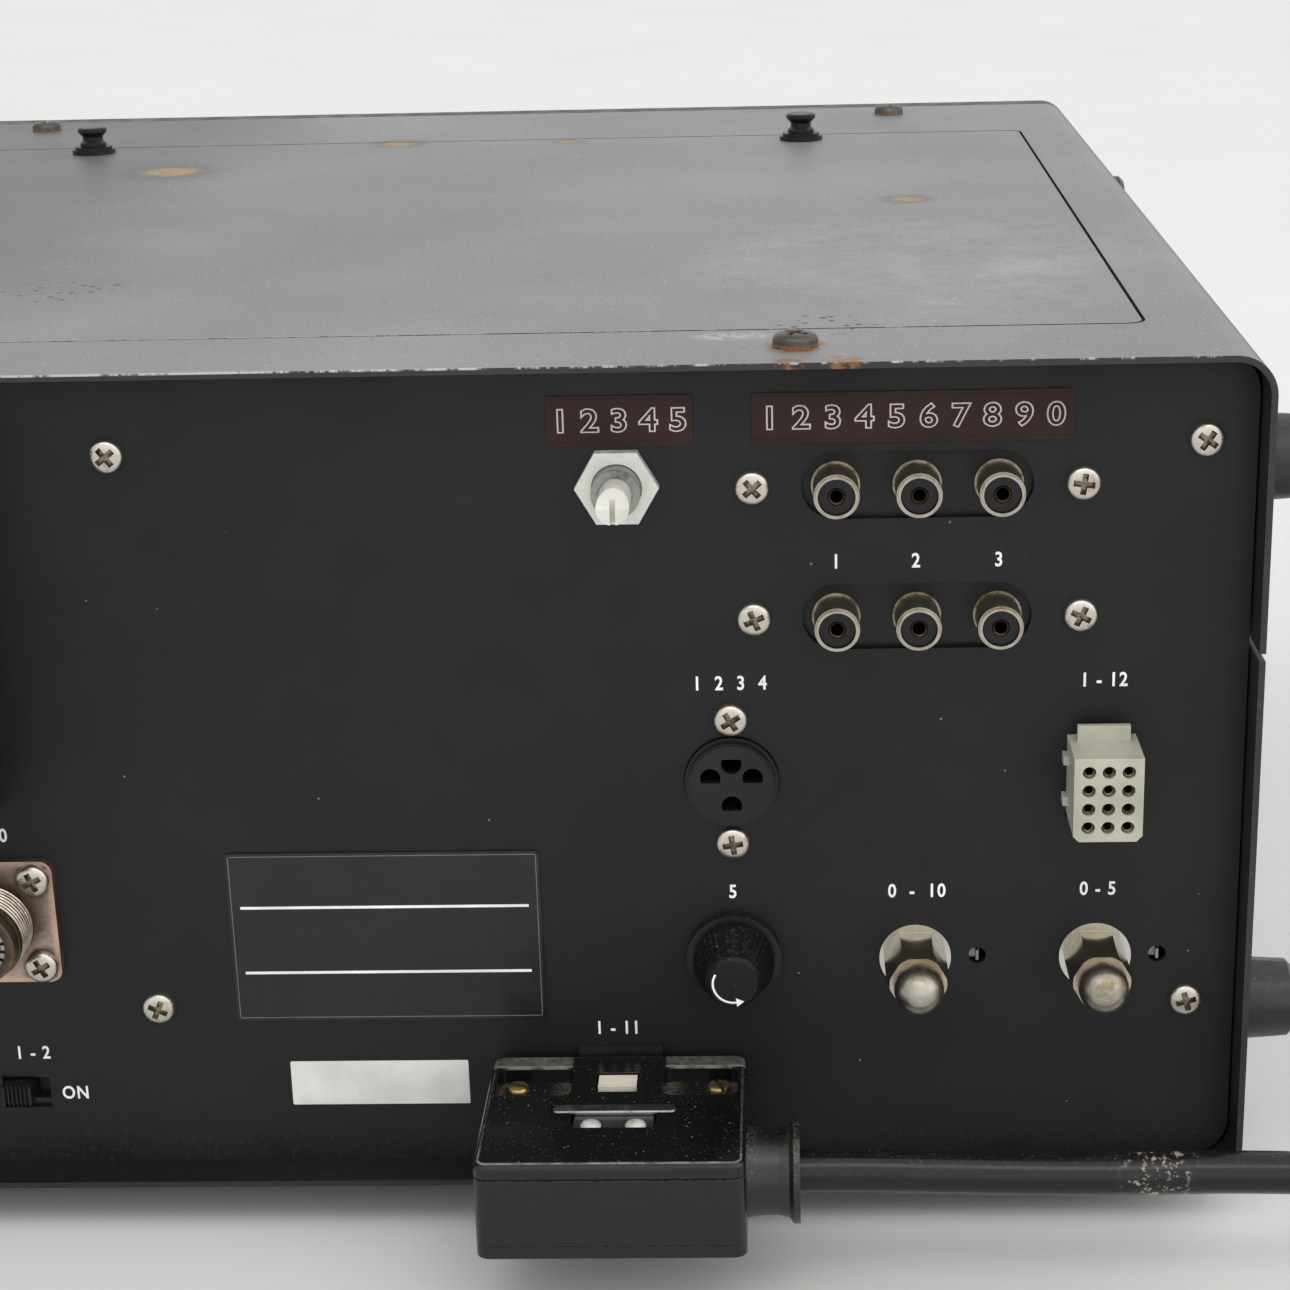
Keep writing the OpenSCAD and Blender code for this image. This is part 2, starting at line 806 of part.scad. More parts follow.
// Flat round bases clipped to the lid
module latch_bases() {
    color([0.05, 0.05, 0.05])
        for (d = [-1, 1])
            translate([case_x + d * latch_x, latch_y, top_z]) difference() {
                union() {
                    cylinder(d = latch_d, h = latch_base * 0.6);
                    cylinder(d = latch_d - 1.6, h = latch_base);
                }
                translate([0, 0, -1]) cylinder(r = latch_hole, h = latch_base + 2);
            }
}

// Waisted knob on a pin that snaps through the ledge
module latch(x) {
    r = latch_knob / 2;
    low = latch_base + end_gap;
    top = latch_base + latch_h;
    translate([x, latch_y, top_z]) rotate_extrude() polygon([
        [0, -2 * sheet - 2.5], [latch_pin * 0.3, -2 * sheet - 2.5],
        [latch_pin / 2, -2 * sheet - 1], [latch_pin / 2, low], [r * 0.9, low],
        [r * 0.9, low + latch_h * 0.15], [r * 0.7, low + latch_h * 0.3],
        [r * 0.7, low + latch_h * 0.5], [r, low + latch_h * 0.75], [r, top - 0.4],
        [r - 0.4, top], [0, top]
    ]);
}

module lid_latch_left() {
    color([0.04, 0.04, 0.04]) latch(case_x + latch_x);
}

module lid_latch_right() {
    color([0.04, 0.04, 0.04]) latch(case_x - latch_x);
}

// Feet, handle and fasteners

// Four round feet under the set and four longer ones on its right-hand side, to stand it on end
module rubber_feet() {
    color([0.07, 0.07, 0.07]) for (d = [-1, 1], y = [rear_y - foot_back, cover_front + foot_front])
        translate([case_x + d * (case_w / 2 - foot_side), y, 0]) rotate_extrude() polygon([
            [screw_head / 2 + 1, 0], [foot_d / 2 - 1.5, 0], [foot_d / 2 - 0.6, 0.8],
            [foot_d / 2, foot_h], [0, foot_h], [0, foot_h / 2], [screw_head / 2 + 1, foot_h / 2]
        ]);
    color([0.07, 0.07, 0.07]) for (y = [rear_y - side_foot_back, cover_front + side_foot_front],
         z = [foot_h + side_foot_low, top_z - side_foot_drop])
        translate([case_x - case_w / 2, y, z]) rotate([0, -90, 0]) rotate_extrude() polygon([
            [0, 0], [side_foot_d / 2, 0], [side_foot_d / 2 - 0.8, side_foot_l - 1.2],
            [side_foot_d / 2 - 2, side_foot_l], [screw_head / 2 + 1, side_foot_l],
            [screw_head / 2 + 1, side_foot_l / 2], [0, side_foot_l / 2]
        ]);
}

strap_y = (cover_back + cover_front) / 2;
side_x = case_x + case_w / 2;

// Flat carrying strap held at both ends
module handle_strap() {
    color([0.1, 0.1, 0.1])
        translate([side_x + strap_gap, strap_y, foot_h + strap_h]) rotate([0, 90, 0])
            linear_extrude(strap_t) rotate([0, 0, 90]) slot(strap_l + strap_w, strap_w);
}

// End caps that hold the strap off the side
module handle_caps() {
    w = strap_w + 2 * cap_wall;
    color([0.75, 0.75, 0.74])
        for (d = [-1, 1])
            translate([side_x, strap_y + d * strap_l / 2, foot_h + strap_h]) difference() {
                rotate([0, 90, 0]) linear_extrude(strap_reach) rotate([0, 0, 90]) slot(cap_l, w);
                translate([strap_gap - fit / 2, -d * cap_l / 2, 0]) rotate([0, 90, 0])
                    linear_extrude(strap_t + fit) rotate([0, 0, 90])
                        slot(cap_l + strap_w + fit, strap_w + fit);
            }
}

// Screws of both covers
module cover_screws() {
    color([0.55, 0.5, 0.42])
        for (d = [-1, 1], p = cover_screw_places) {
            translate([case_x + d * p[0], p[1], top_z])
                screw(sheet + 5, cover_screw_d, cover_head, cover_head_h);
            translate([case_x + d * p[0], p[1], foot_h]) rotate([180, 0, 0])
                screw(sheet + 5, cover_screw_d, cover_head, cover_head_h);
        }
}

// Screws of the rear panel and of what it carries
module panel_screws() {
    color([0.75, 0.74, 0.7]) {
        for (p = concat(panel_screw_places, jack_screw_places, acc_screw_places))
            on_rear(p[0], p[1]) screw(panel_t + 5);
        for (p = ant_screw_places)
            on_rear(p[0], p[1], ant_flange_t) screw(ant_flange_t + panel_t + 4);
        for (p = fan_screw_places)
            on_rear(p[0], p[1], fan_d) screw(fan_d + panel_t + 3);
    }
}

// Rear panel fittings

// Insulating strips behind the two slots, with a moulded core for each jack
module jack_strips() {
    core_out = panel_t + jack_out - core_in;
    color([0.16, 0.11, 0.08])
        for (i = [0, 1])
            on_rear(jack_s, jack_row(i), -panel_t - strip_t) difference() {
                union() {
                    linear_extrude(strip_t) slot(jack_screws + 12, slot_h + 5);
                    for (j = [-1:1])
                        translate([j * jack_pitch, 0, 0])
                            cylinder(d = jack_bore - 2 * screw_fit, h = strip_t + core_out);
                }
                for (d = [-1, 1])
                    translate([d * jack_screws / 2, 0, -1]) cylinder(r = hole_r, h = strip_t + 2);
                for (j = [-1:1])
                    translate([j * jack_pitch, 0, strip_t]) cylinder(d = jack_pin, h = core_out + 1);
            }
}

// Plated shells of the six jacks, each with a collar on its strip
module jack_shells() {
    color([0.78, 0.75, 0.7])
        for (i = [0, 1], j = [-1:1])
            on_rear(jack_s + j * jack_pitch, jack_row(i), -panel_t) difference() {
                union() {
                    cylinder(d = jack_collar, h = 1.2);
                    cylinder(d = jack_d, h = panel_t + jack_out - 0.6);
                    cylinder(d = jack_d - 0.6, h = panel_t + jack_out);
                }
                translate([0, 0, -1]) cylinder(d = jack_bore, h = panel_t + jack_out + 2);
            }
}

// Round rotary control behind the panel with its bush through it
module speed_pot() {
    color([0.62, 0.62, 0.6]) on_rear(speed_s, speed_h) difference() {
        union() {
            translate([0, 0, -panel_t - pot_l]) cylinder(d = pot_d, h = pot_l);
            translate([0, 0, -panel_t - 1]) cylinder(d = bush_d, h = panel_t + bush_out + 1);
        }
        translate([0, 0, -panel_t - pot_l / 2]) cylinder(r = knob_hole, h = pot_l + bush_out + 9);
    }
}

// Hexagon nut with its flats up and down
module speed_nut() {
    color([0.82, 0.82, 0.8]) on_rear(speed_s, speed_h) difference() {
        cylinder(d = nut_af / cos(30), h = nut_t, $fn = 6);
        translate([0, 0, -1]) cylinder(d = bush_d + 2 * screw_fit, h = nut_t + 2);
    }
}

// Cream shaft with a slanted, slotted end
module speed_shaft() {
    length = pot_l / 2 + panel_t + shaft_out;
    color([0.85, 0.83, 0.75]) on_rear(speed_s, speed_h, -panel_t - pot_l / 2 + end_gap) difference() {
        cylinder(d = shaft_d, h = length);
        translate([-shaft_d, shaft_d / 2, length - shaft_d * 0.55]) rotate([42, 0, 0])
            cube([2 * shaft_d, 2 * shaft_d, 2 * shaft_d]);
        translate([-0.5, -shaft_d, length - 1.6]) cube([1, 2 * shaft_d, shaft_d]);
    }
}

// Contact slot of the accessory socket with its flat side down
module acc_contact() {
    linear_extrude(acc_l + acc_out + 1) intersection() {
        circle(d = acc_slot_d);
        translate([-acc_slot_d / 2, -acc_slot_d * 0.25]) square(acc_slot_d);
    }
}

// Contact slots as [across, up, turn]
acc_slots = [
    [0, acc_slot_r, 180], [0, -acc_slot_r, 0], [-acc_side_x, acc_side_y, 0], [acc_side_x, acc_side_y, 0]
];

// Round moulded socket with a rim and four contact slots, held by two ears behind the panel
module accessory_socket() {
    ear = acc_screws + 2 * screw_head;
    color([0.06, 0.06, 0.06]) on_rear(acc_s, acc_h) difference() {
        union() {
            translate([0, 0, -panel_t - acc_l]) cylinder(d = acc_d, h = acc_l + panel_t + acc_rim_t);
            cylinder(d = acc_d - 1.4, h = acc_out - 0.3);
            cylinder(d = acc_d - 2, h = acc_out);
            translate([0, 0, -panel_t - 2]) rotate([0, 0, 90]) linear_extrude(2) slot(ear, acc_d + 2);
        }
        for (p = acc_slots)
            translate([p[0], p[1], -acc_l]) rotate([0, 0, p[2]]) acc_contact();
        for (d = [-1, 1])
            translate([0, d * acc_screws / 2, -panel_t - 3]) cylinder(r = hole_r, h = 4);
    }
}

// Fuse holder's tube behind the panel and its ring in front
module fuse_holder() {
    color([0.05, 0.05, 0.05]) on_rear(fuse_s, fuse_h) difference() {
        union() {
            cylinder(d = fuse_ring_d, h = fuse_ring_t);
            translate([0, 0, -panel_t - fuse_body_l])
                cylinder(d = fuse_body_d, h = panel_t + fuse_body_l + eps);
            translate([0, 0, -panel_t - 3])
                cylinder(d = fuse_ring_d / cos(30), h = 3, $fn = 6);
        }
        translate([0, 0, -panel_t - fuse_body_l + 2])
            cylinder(d = fuse_stem + 2 * run_fit, h = fuse_body_l + fuse_ring_t + 5);
    }
}

fuse_stem = fuse_body_d - 4;

// Ribbed tapered cap on a stem that grips the fuse link
module fuse_cap() {
    low = fuse_ring_t + 0.3;
    r1 = fuse_cap_d / 2;
    r2 = fuse_face_d / 2;
    stem = 14;
    color([0.04, 0.04, 0.04]) on_rear(fuse_s, fuse_h) difference() {
        union() {
            rotate_extrude() polygon([
                [0, -stem], [fuse_stem / 2, -stem], [fuse_stem / 2, low], [r1, low],
                [r1, low + 1.6], [r2, fuse_out - 0.8], [r2 - 0.6, fuse_out], [0, fuse_out]
            ]);
            for (i = [0:fuse_ribs - 1])
                rotate([0, 0, i * 360 / fuse_ribs]) rotate([90, 0, 0])
                    translate([0, 0, -rib_t / 2]) linear_extrude(rib_t) polygon([
                        [r1 - 1, low + 0.4], [r1 + rib_h, low + 0.4], [r1 + rib_h, low + 1.8],
                        [r2 + rib_h, fuse_out - 1.2], [r2 - 1, fuse_out - 1.2]
                    ]);
        }
        translate([0, 0, -stem - 1]) cylinder(d = link_d + 0.2, h = 8);
    }
}

// Glass fuse link held in the cap's stem
module fuse_link() {
    color([0.8, 0.8, 0.78]) on_rear(fuse_s, fuse_h, -7.1 - 28) cylinder(d = link_d, h = 28);
}

// Twelve-way moulded connector with its latch tab and panel ears
module remote_connector() {
    chamfer = 1.1;
    color([0.87, 0.85, 0.77]) on_rear(con_s, con_h) difference() {
        union() {
            translate([0, 0, -panel_t - con_in]) linear_extrude(panel_t + con_in + con_out) polygon([
                [-con_w / 2, con_height / 2], [con_w / 2, con_height / 2],
                [con_w / 2, -con_height / 2 + chamfer], [con_w / 2 - chamfer, -con_height / 2],
                [-con_w / 2 + chamfer, -con_height / 2], [-con_w / 2, -con_height / 2 + chamfer]
            ]);
            block([-con_tab_w / 2, con_height / 2 - 1, con_tab_out - 1.3],
                  [con_tab_w / 2, con_height / 2 + con_tab_h, con_tab_out]);
            for (y = [-1, 1])
                block([-con_w / 2 - con_ear, y * con_height / 4 - con_ear, eps],
                      [con_w / 2 + con_ear, y * con_height / 4 + con_ear, 3]);
        }
        for (i = [-1:1], j = [-1.5:1.5])
            translate([i * con_pitch, j * con_pitch, con_out - 8]) cylinder(d = con_hole, h = 9);
    }
}

// Two small controls behind the panel, each with a bush and a locating tab
module adjust_pots() {
    ring_t = 1;
    color([0.6, 0.6, 0.58])
        for (s = [adj_a, adj_b])
            on_rear(s, adj_h) difference() {
                union() {
                    translate([0, 0, -panel_t - adj_can_l]) cylinder(d = adj_can, h = adj_can_l);
                    translate([0, 0, -panel_t - 1]) cylinder(d = adj_bush, h = panel_t + adj_bush_out + 1);
                    block([0, -1, -panel_t - ring_t], [adj_tab + 0.4, 1, -panel_t]);
                    block([adj_tab - 0.25, -1, -panel_t - ring_t], [adj_tab + 0.25, 1, 0]);
                }
                translate([0, 0, -panel_t - adj_can_l / 2])
                    cylinder(r = adj_shaft / 2 + run_fit, h = 2 * adj_can_l + adj_bush_out);
            }
}

adj_bush_out = washer_t + 8;

// Washers and domed nuts that cover the two adjusters
module cap_nuts() {
    dome_low = washer_t + cap_hex;
    dome_r = dome_d / 2;
    color([0.72, 0.7, 0.66])
        for (s = [adj_a, adj_b])
            on_rear(s, adj_h) {
                difference() {
                    cylinder(d = washer_d, h = washer_t);
                    translate([0, 0, -1]) cylinder(d = adj_bush + 2 * screw_fit, h = washer_t + 2);
                }
                translate([0, 0, washer_t + eps]) difference() {
                    union() {
                        intersection() {
                            cylinder(d = cap_af / cos(30), h = cap_hex, $fn = 6);
                            cylinder(d1 = cap_af + 6, d2 = cap_af - 0.4, h = cap_hex + 2);
                        }
                        cylinder(d = dome_d, h = dome_out - washer_t - dome_r);
                        translate([0, 0, dome_out - washer_t - dome_r]) sphere(d = dome_d);
                    }
                    translate([0, 0, -1])
                        cylinder(d = adj_bush + 2 * screw_fit, h = adj_bush_out - washer_t + 1.2);
                    cylinder(d = adj_shaft + 1, h = dome_low + 1.5);
                }
            }
}

// Slotted shaft of one adjuster, under its nut
module adjuster(s) {
    length = adj_can_l / 2 + panel_t + adj_bush_out + 0.6;
    color([0.7, 0.68, 0.6]) on_rear(s, adj_h, -panel_t - adj_can_l / 2 + end_gap) difference() {
        cylinder(d = adj_shaft, h = length);
        translate([-adj_shaft, -0.4, length - 1]) cube([2 * adj_shaft, 0.8, 2]);
    }
}

module left_adjuster() {
    adjuster(adj_a);
}

module right_adjuster() {
    adjuster(adj_b);
}

// Coaxial socket with a square flange
module antenna_socket() {
    core_d = 8;
    color([0.72, 0.55, 0.45]) on_rear(ant_s, ant_h) difference() {
        union() {
            translate([0, -ant_flange / 2, 0]) linear_extrude(ant_flange_t)
                round_rect(ant_flange, ant_flange, ant_corner);
            cylinder(d = ant_d, h = ant_out - 3);
            cylinder(d = ant_d - 0.8, h = ant_out);
            translate([0, 0, -panel_t - 8]) cylinder(d = ant_bore, h = panel_t + 8 + eps);
        }
        difference() {
            translate([0, 0, ant_out - ant_deep]) cylinder(d = ant_bore, h = ant_deep + 1);
            translate([0, 0, ant_out - ant_deep - 1]) cylinder(d = core_d, h = ant_deep - 1.5);
        }
        translate([0, 0, 2]) cylinder(d = ant_contact, h = ant_out);
        four_holes(ant_pitch, ant_flange_t);
    }
}

slide_body = [24, 10, 8];
slide_tail = 3;

// Switch body behind the panel, slotted for its knob
module slide_switch() {
    color([0.5, 0.5, 0.5]) on_rear(slide_s, slide_h) difference() {
        translate([0, 0, -panel_t - slide_body[2] / 2]) cube(slide_body, center = true);
        translate([0, 0, -panel_t])
            cube([slide_w, knob_h + 2 * slide_fit, 2 * slide_tail], center = true);
    }
}

slide_travel = slide_w - knob_w - 2 * slide_fit;

// Ribbed knob at the left end of its travel
module slide_knob() {
    ribs = 6;
    pitch = knob_w / (ribs + 1);
    color([0.04, 0.04, 0.04])
        on_rear(slide_s, slide_h) translate([-slide_travel / 2, 0, 0]) difference() {
            block([-knob_w / 2, -knob_h / 2, -panel_t - slide_tail + 0.2],
                  [knob_w / 2, knob_h / 2, slide_out]);
            for (i = [-(ribs - 1) / 2:(ribs - 1) / 2])
                block([i * pitch - 0.3, -knob_h, slide_out - 0.8],
                      [i * pitch + 0.3, knob_h, slide_out + 1]);
        }
}

// Square fan frame outside the panel, with a bearing on three struts and a ringed finger guard
module fan_frame() {
    struts = 3;
    strut_t = 4;
    rings = 4;
    color([0.07, 0.07, 0.07]) on_rear(fan_s, fan_h) difference() {
        union() {
            difference() {
                linear_extrude(fan_d) translate([0, -fan_w / 2]) round_rect(fan_w, fan_w, 4);
                translate([0, 0, -1]) cylinder(d = fan_bore, h = fan_d + 2);
            }
            cylinder(d = hub_d - 4, h = strut_t);
            for (i = [0:struts - 1])
                rotate([0, 0, i * 360 / struts]) block([0, -2, 0], [fan_bore / 2 + 0.5, 2, strut_t]);
            cylinder(d = spindle_d + 6, h = fan_d / 2);
            translate([0, 0, fan_d]) {
                for (i = [1:rings])
                    rotate_extrude() translate([i * fan_bore / 2 / (rings + 0.3), guard_d / 2])
                        square(guard_d, center = true);
                for (a = [45:90:315])
                    rotate([0, 0, a])
                        block([0, -guard_d / 2, 0], [fan_bore / 2 + 2, guard_d / 2, guard_d]);
            }
        }
        translate([0, 0, strut_t / 2]) cylinder(d = spindle_d + 2 * run_fit, h = fan_d);
        four_holes(fan_pitch, fan_d);
    }
}

// Hub with pitched blades on a short spindle
module fan_rotor() {
    tip = fan_bore / 2 - blade_gap;
    low = 6;
    high = fan_d - 2;
    color([0.06, 0.06, 0.06]) on_rear(fan_s, fan_h) {
        difference() {
            union() {
                translate([0, 0, low]) cylinder(d = hub_d, h = high - low);
                intersection() {
                    translate([0, 0, low + 1]) cylinder(r = tip, h = high - low - 2);
                    for (i = [0:blades - 1])
                        rotate([0, 0, i * 360 / blades]) translate([hub_d / 2 - 2, 0, (low + high) / 2])
                            rotate([40, 0, 0]) block([0, -12, -0.8], [tip, 12, 0.8]);
                }
            }
            translate([0, 0, low - 1]) cylinder(d = spindle_d + 8, h = fan_d / 2 - low + 2);
        }
        translate([0, 0, 3]) cylinder(d = spindle_d, h = high - 3);
    }
}

// Power connector and lead

// Moulded socket behind the panel whose tongue carries the contacts, with a key above it
module power_socket() {
    key_w = 16.4;
    key_h = plug_h - tongue_up + 1.4;
    color([0.32, 0.2, 0.12]) on_rear(plug_s, plug_low + tongue_up) difference() {
        union() {
            translate([0, 0, -panel_t - 9]) cube_on(plug_w - 4, 2 * tongue_up, 9);
            translate([0, 0, -panel_t - 1]) cube_on(tongue_w, tongue_h, panel_t + 1 + tongue_l);
            block([-key_w / 2, 0, eps], [key_w / 2, key_h, plug_gap - fit]);
        }
        for (i = [-2:2])
            translate([i * tongue_w / 6, 0, tongue_l - 6]) cube_on(2.6, tongue_h - 3, 7);
    }
}

// Hood's shell: round corners, open below, sunk ledges beside a raised block
module plug_hood() {
    body_h = plug_h - plug_base_t;
    back = plug_gap;
    ledge_w = (plug_w - block_w) / 2 - 1.8;
    color([0.04, 0.04, 0.045]) plug_frame() difference() {
        union() {
            translate([0, 0, plug_base_t]) linear_extrude(body_h - plug_edge) plug_outline(0);
            hull() for (a = [-90:22.5:90])
                translate([0, 0, plug_h - plug_edge * (1 - sin(a)) - eps]) linear_extrude(eps)
                    plug_outline(-eps - plug_edge * (1 - cos(max(0, a))), $fn = 32);
        }
        // Room for wires
        translate([0, 0, plug_base_t - 1]) linear_extrude(body_h - plug_wall - well_drop + 1)
            plug_outline(-plug_wall);
        // Mouth over the socket's tongue
        block([-tongue_w / 2 - fit, back - 1, tongue_up - tongue_h / 2 - fit],
              [tongue_w / 2 + fit, back + plug_wall + 1, tongue_up + tongue_h / 2 + fit]);
        // Sunk ledges
        for (d = [-1, 1])
            translate([d * (block_w + ledge_w) / 2, back + well_back, plug_h - well_drop])
                linear_extrude(well_drop + 1)
                    round_rect(ledge_w, well_d - well_back, 2, $fn = 24);
        for (d = [-1, 1])
            translate([d * plug_screw_x, back + plug_screw_in, 0])
                cylinder(r = hole_r, h = plug_h);
        // Window for the latch, and slot for its spring plate
        block([-thumb_w / 2 - fit, back + thumb_in, plug_h - well_drop],
              [thumb_w / 2 + fit, back + thumb_in + thumb_l + thumb_slide + 2 * fit, plug_h + 1]);
        block([-clip_w / 2, back + clip_in, plug_h - 1], [clip_w / 2, back + clip_in + 3.4, plug_h + 1]);
        block([-clip_w / 3, back + clip_in, plug_h - 1.6], [clip_w / 3, back + clip_in + 9, plug_h + 1]);
        // Bore for the bush
        translate([plug_w / 2 - plug_wall - 1, cord_out, cord_up])
            rotate([0, 90, 0]) cylinder(d = bush_neck + 2 * screw_fit, h = plug_wall + 2);
        // Parting line
        translate([0, 0, plug_h - 3.4]) linear_extrude(0.5) difference() {
            plug_outline(1);
            plug_outline(-0.4);
        }
    }
}

// Hood's spring plate slot, and the latch's place and travel
clip_w = 24;
clip_in = 20.2;
thumb_in = 7.5;
thumb_l = 4.6;
thumb_slide = 2.4;
bush_neck = cord_d + 2;

// Hood's frame: x to the right hand, y out of the panel, z up from its underside
module plug_frame() {
    translate([from_right(plug_s), rear_y, foot_h + plug_low]) mirror([1, 0, 0]) children();
}

// Hood's outline seen from above, grown by g
module plug_outline(g) {
    translate([0, plug_gap - g]) round_rect(plug_w + 2 * g, plug_d + 2 * g, plug_r + g);
}

// Hood's separate bottom
module plug_base() {
    color([0.05, 0.05, 0.055]) plug_frame() difference() {
        linear_extrude(plug_base_t - 0.15) plug_outline(0);
        for (d = [-1, 1])
            translate([d * plug_screw_x, plug_gap + plug_screw_in, -1])
                cylinder(r = hole_r, h = plug_base_t + 2);
    }
}

// Pale thumb piece that slides in the hood's window
module plug_latch() {
    color([0.85, 0.84, 0.8]) plug_frame()
        block([-thumb_w / 2, plug_gap + thumb_in + fit, plug_h - well_drop + 0.2],
              [thumb_w / 2, plug_gap + thumb_in + fit + thumb_l, plug_h - 0.4]);
}

// Brass screws that hold the hood's two halves
module plug_screws() {
    color([0.75, 0.6, 0.3]) plug_frame()
        for (d = [-1, 1])
            translate([d * plug_screw_x, plug_gap + plug_screw_in, plug_h - well_drop])
                screw(plug_h - well_drop - 1, screw_d, plug_head, plug_head_h);
}

// Waisted rubber bush between the hood and the lead
module cord_bush() {
    r = waist_d / 2;
    neck = bush_neck / 2;
    color([0.06, 0.06, 0.06]) plug_frame()
        translate([plug_w / 2, cord_out, cord_up]) rotate([0, 90, 0])
            rotate_extrude() polygon([
                [0, -plug_wall], [neck, -plug_wall], [neck, 0], [r + 0.5, 0], [r + 0.2, 1.2],
                [r, bush_len * 0.4], [r, bush_len * 0.6], [r + 0.4, bush_len - 2],
                [flange_dia / 2, bush_len - 1.2], [flange_dia / 2, bush_len], [0, bush_len]
            ]);
}

cord_x = from_right(plug_s) - plug_w / 2 - bush_len;
cord_y = rear_y + cord_out;
cord_z = foot_h + plug_low + cord_up;
coil_low = tie_t + 0.3 + cord_d / 2;

// Route of the lead from its bush to the coil, as steps from the bush's end face
route = [
    [0, 0, 0], [-10, 0, 0], [-26, 0, -0.4], [-44, 0, -0.9], [-62, 0, -1], [-80, 0, -0.8],
    [-98, 0, -1.5], [-114, 0, -4.5], [-130, 0, -9.5], [-146, 0, -14.5], [-162, 0, -18.5],
    [-176, 0, coil_low - cord_z], [-188, 0, coil_low - cord_z]
];
cord_points = [for (p = route) [cord_x + p[0], cord_y + p[1], cord_z + p[2]]];
cord_end = cord_points[len(cord_points) - 1];

function unit(v) = v / norm(v);

// Direction of a path at its point i
function heading(p, i) =
    unit(p[min(i + 1, len(p) - 1)] - p[max(i - 1, 0)]);

// Ring of n points round a path's point i, square to the path
function ring(p, i, r, n) = let (
    t = heading(p, i),
    a = unit(cross([0, 0, 1], t)),
    b = cross(t, a)
) [for (k = [0:n - 1]) p[i] + r * (cos(360 * k / n) * a + sin(360 * k / n) * b)];

// Tube of n sides swept along a path
module tube(p, r, n) {
    m = len(p);
    points = [for (i = [0:m - 1]) each ring(p, i, r, n)];
    sides = [
        for (i = [0:m - 2], k = [0:n - 1]) let (a = i * n + k, b = i * n + (k + 1) % n)
            each [[a, b + n, b], [a, a + n, b + n]]
    ];
    first = [for (k = [1:n - 2]) [0, k, k + 1]];
    last = [for (k = [1:n - 2]) [(m - 1) * n, (m - 1) * n + k + 1, (m - 1) * n + k]];
    polyhedron(points, concat(sides, first, last));
}

// Free stretch of the lead
module mains_cord() {
    color([0.05, 0.05, 0.055]) tube(cord_points, cord_d / 2, 10);
}

// Coil: winds in on the floor, climbs a layer where it turns, and winds out above
turn_pitch = cord_d + turn_gap;
half_turns = turns / 2;
coil_x = cord_end[0] - cord_d;
coil_y = cord_end[1] - coil_r;
coil_steps = 24;

function coil_radius(t) = coil_r - turn_pitch * (half_turns - abs(half_turns - t));
function climb(u) = u < 0 ? 0 : u > 1 ? 1 : u * u * (3 - 2 * u);
function coil_level(t) = coil_low + turn_pitch * climb((t - half_turns + 0.25) * 2);
function coil_point(t) = let (a = 90 + 360 * t, r = coil_radius(t))
    [coil_x + r * cos(a), coil_y + r * sin(a), coil_level(t)];

coil_end = coil_point(turns);
coil_points = concat(
    [cord_end],
    [for (i = [0:round(turns * coil_steps)]) coil_point(i / coil_steps)],
    [coil_end - [0, lead_out / 2, 0], coil_end - [0, lead_out, 0]]
);

// Least distance between turns that pass each other, less the lead's diameter
coil_gap = min([
    for (i = [0:len(coil_points) - 1], j = [i + round(coil_steps / 2):1:len(coil_points) - 1])
        norm(coil_points[i] - coil_points[j])
]) - cord_d;
echo(coil_gap = coil_gap);

module cord_coil() {
    color([0.05, 0.05, 0.055]) tube(coil_points, cord_d / 2, 6);
}

// Flat tie round all the turns, on the side towards the set
module coil_tie() {
    radii = [for (k = [0:floor(turns - 0.75)]) coil_radius(0.75 + k)];
    clear = 0.3;
    in_r = min(radii) - cord_d / 2 - clear;
    out_r = max(radii) + cord_d / 2 + clear;
    height = turn_pitch + cord_d + 2 * clear;
    color([0.08, 0.08, 0.08])
        translate([coil_x + (in_r + out_r) / 2, coil_y + tie_w / 2, 0]) rotate([90, 0, 0])
            linear_extrude(tie_w) difference() {
                round_rect(out_r - in_r + 2 * tie_t, height + 2 * tie_t, tie_t + 1);
                translate([0, tie_t]) round_rect(out_r - in_r, height, 1);
            }
}

// Moulded two-pin mains plug lying on the floor
module mains_plug() {
    face = [coil_end[0], coil_end[1] - lead_out, coil_end[2]];
    half = face[2];
    color([0.06, 0.06, 0.06]) translate(face) rotate([90, 0, 0]) {
        cylinder(d1 = cord_d + 3, d2 = cord_d + 8, h = 12);
        translate([0, -half, 11]) linear_extrude(mains_l) round_rect(mains_w, 2 * half, 6);
        for (d = [-1, 1])
            translate([d * pin_pitch / 2, 0, 10 + mains_l]) cylinder(d = pin_d, h = pin_l + 1);
    }
}

// Front controls

// Knob with a skirt, a fluted grip and its shaft through the panel
module knob(x, h, d, l, flutes, shaft) {
    on_front(x, h) difference() {
        union() {
            translate([0, 0, knob_gap]) cylinder(d = d, h = l * 0.18);
            translate([0, 0, knob_gap]) cylinder(d = d * 0.84, h = l - 1);
            translate([0, 0, knob_gap]) cylinder(d = d * 0.76, h = l);
            translate([0, 0, -front_t - shaft]) cylinder(d = shaft_d, h = front_t + shaft + knob_gap + 1);
        }
        for (i = [0:flutes - 1])
            rotate([0, 0, (i + 0.5) * 360 / flutes])
                translate([d * 0.43, 0, knob_gap + l * 0.24]) cylinder(d = d * 0.06, h = l);
        // Pointer line
        translate([-0.5, d * 0.3, knob_gap + l - 0.6]) cube([1, d, 2]);
    }
}

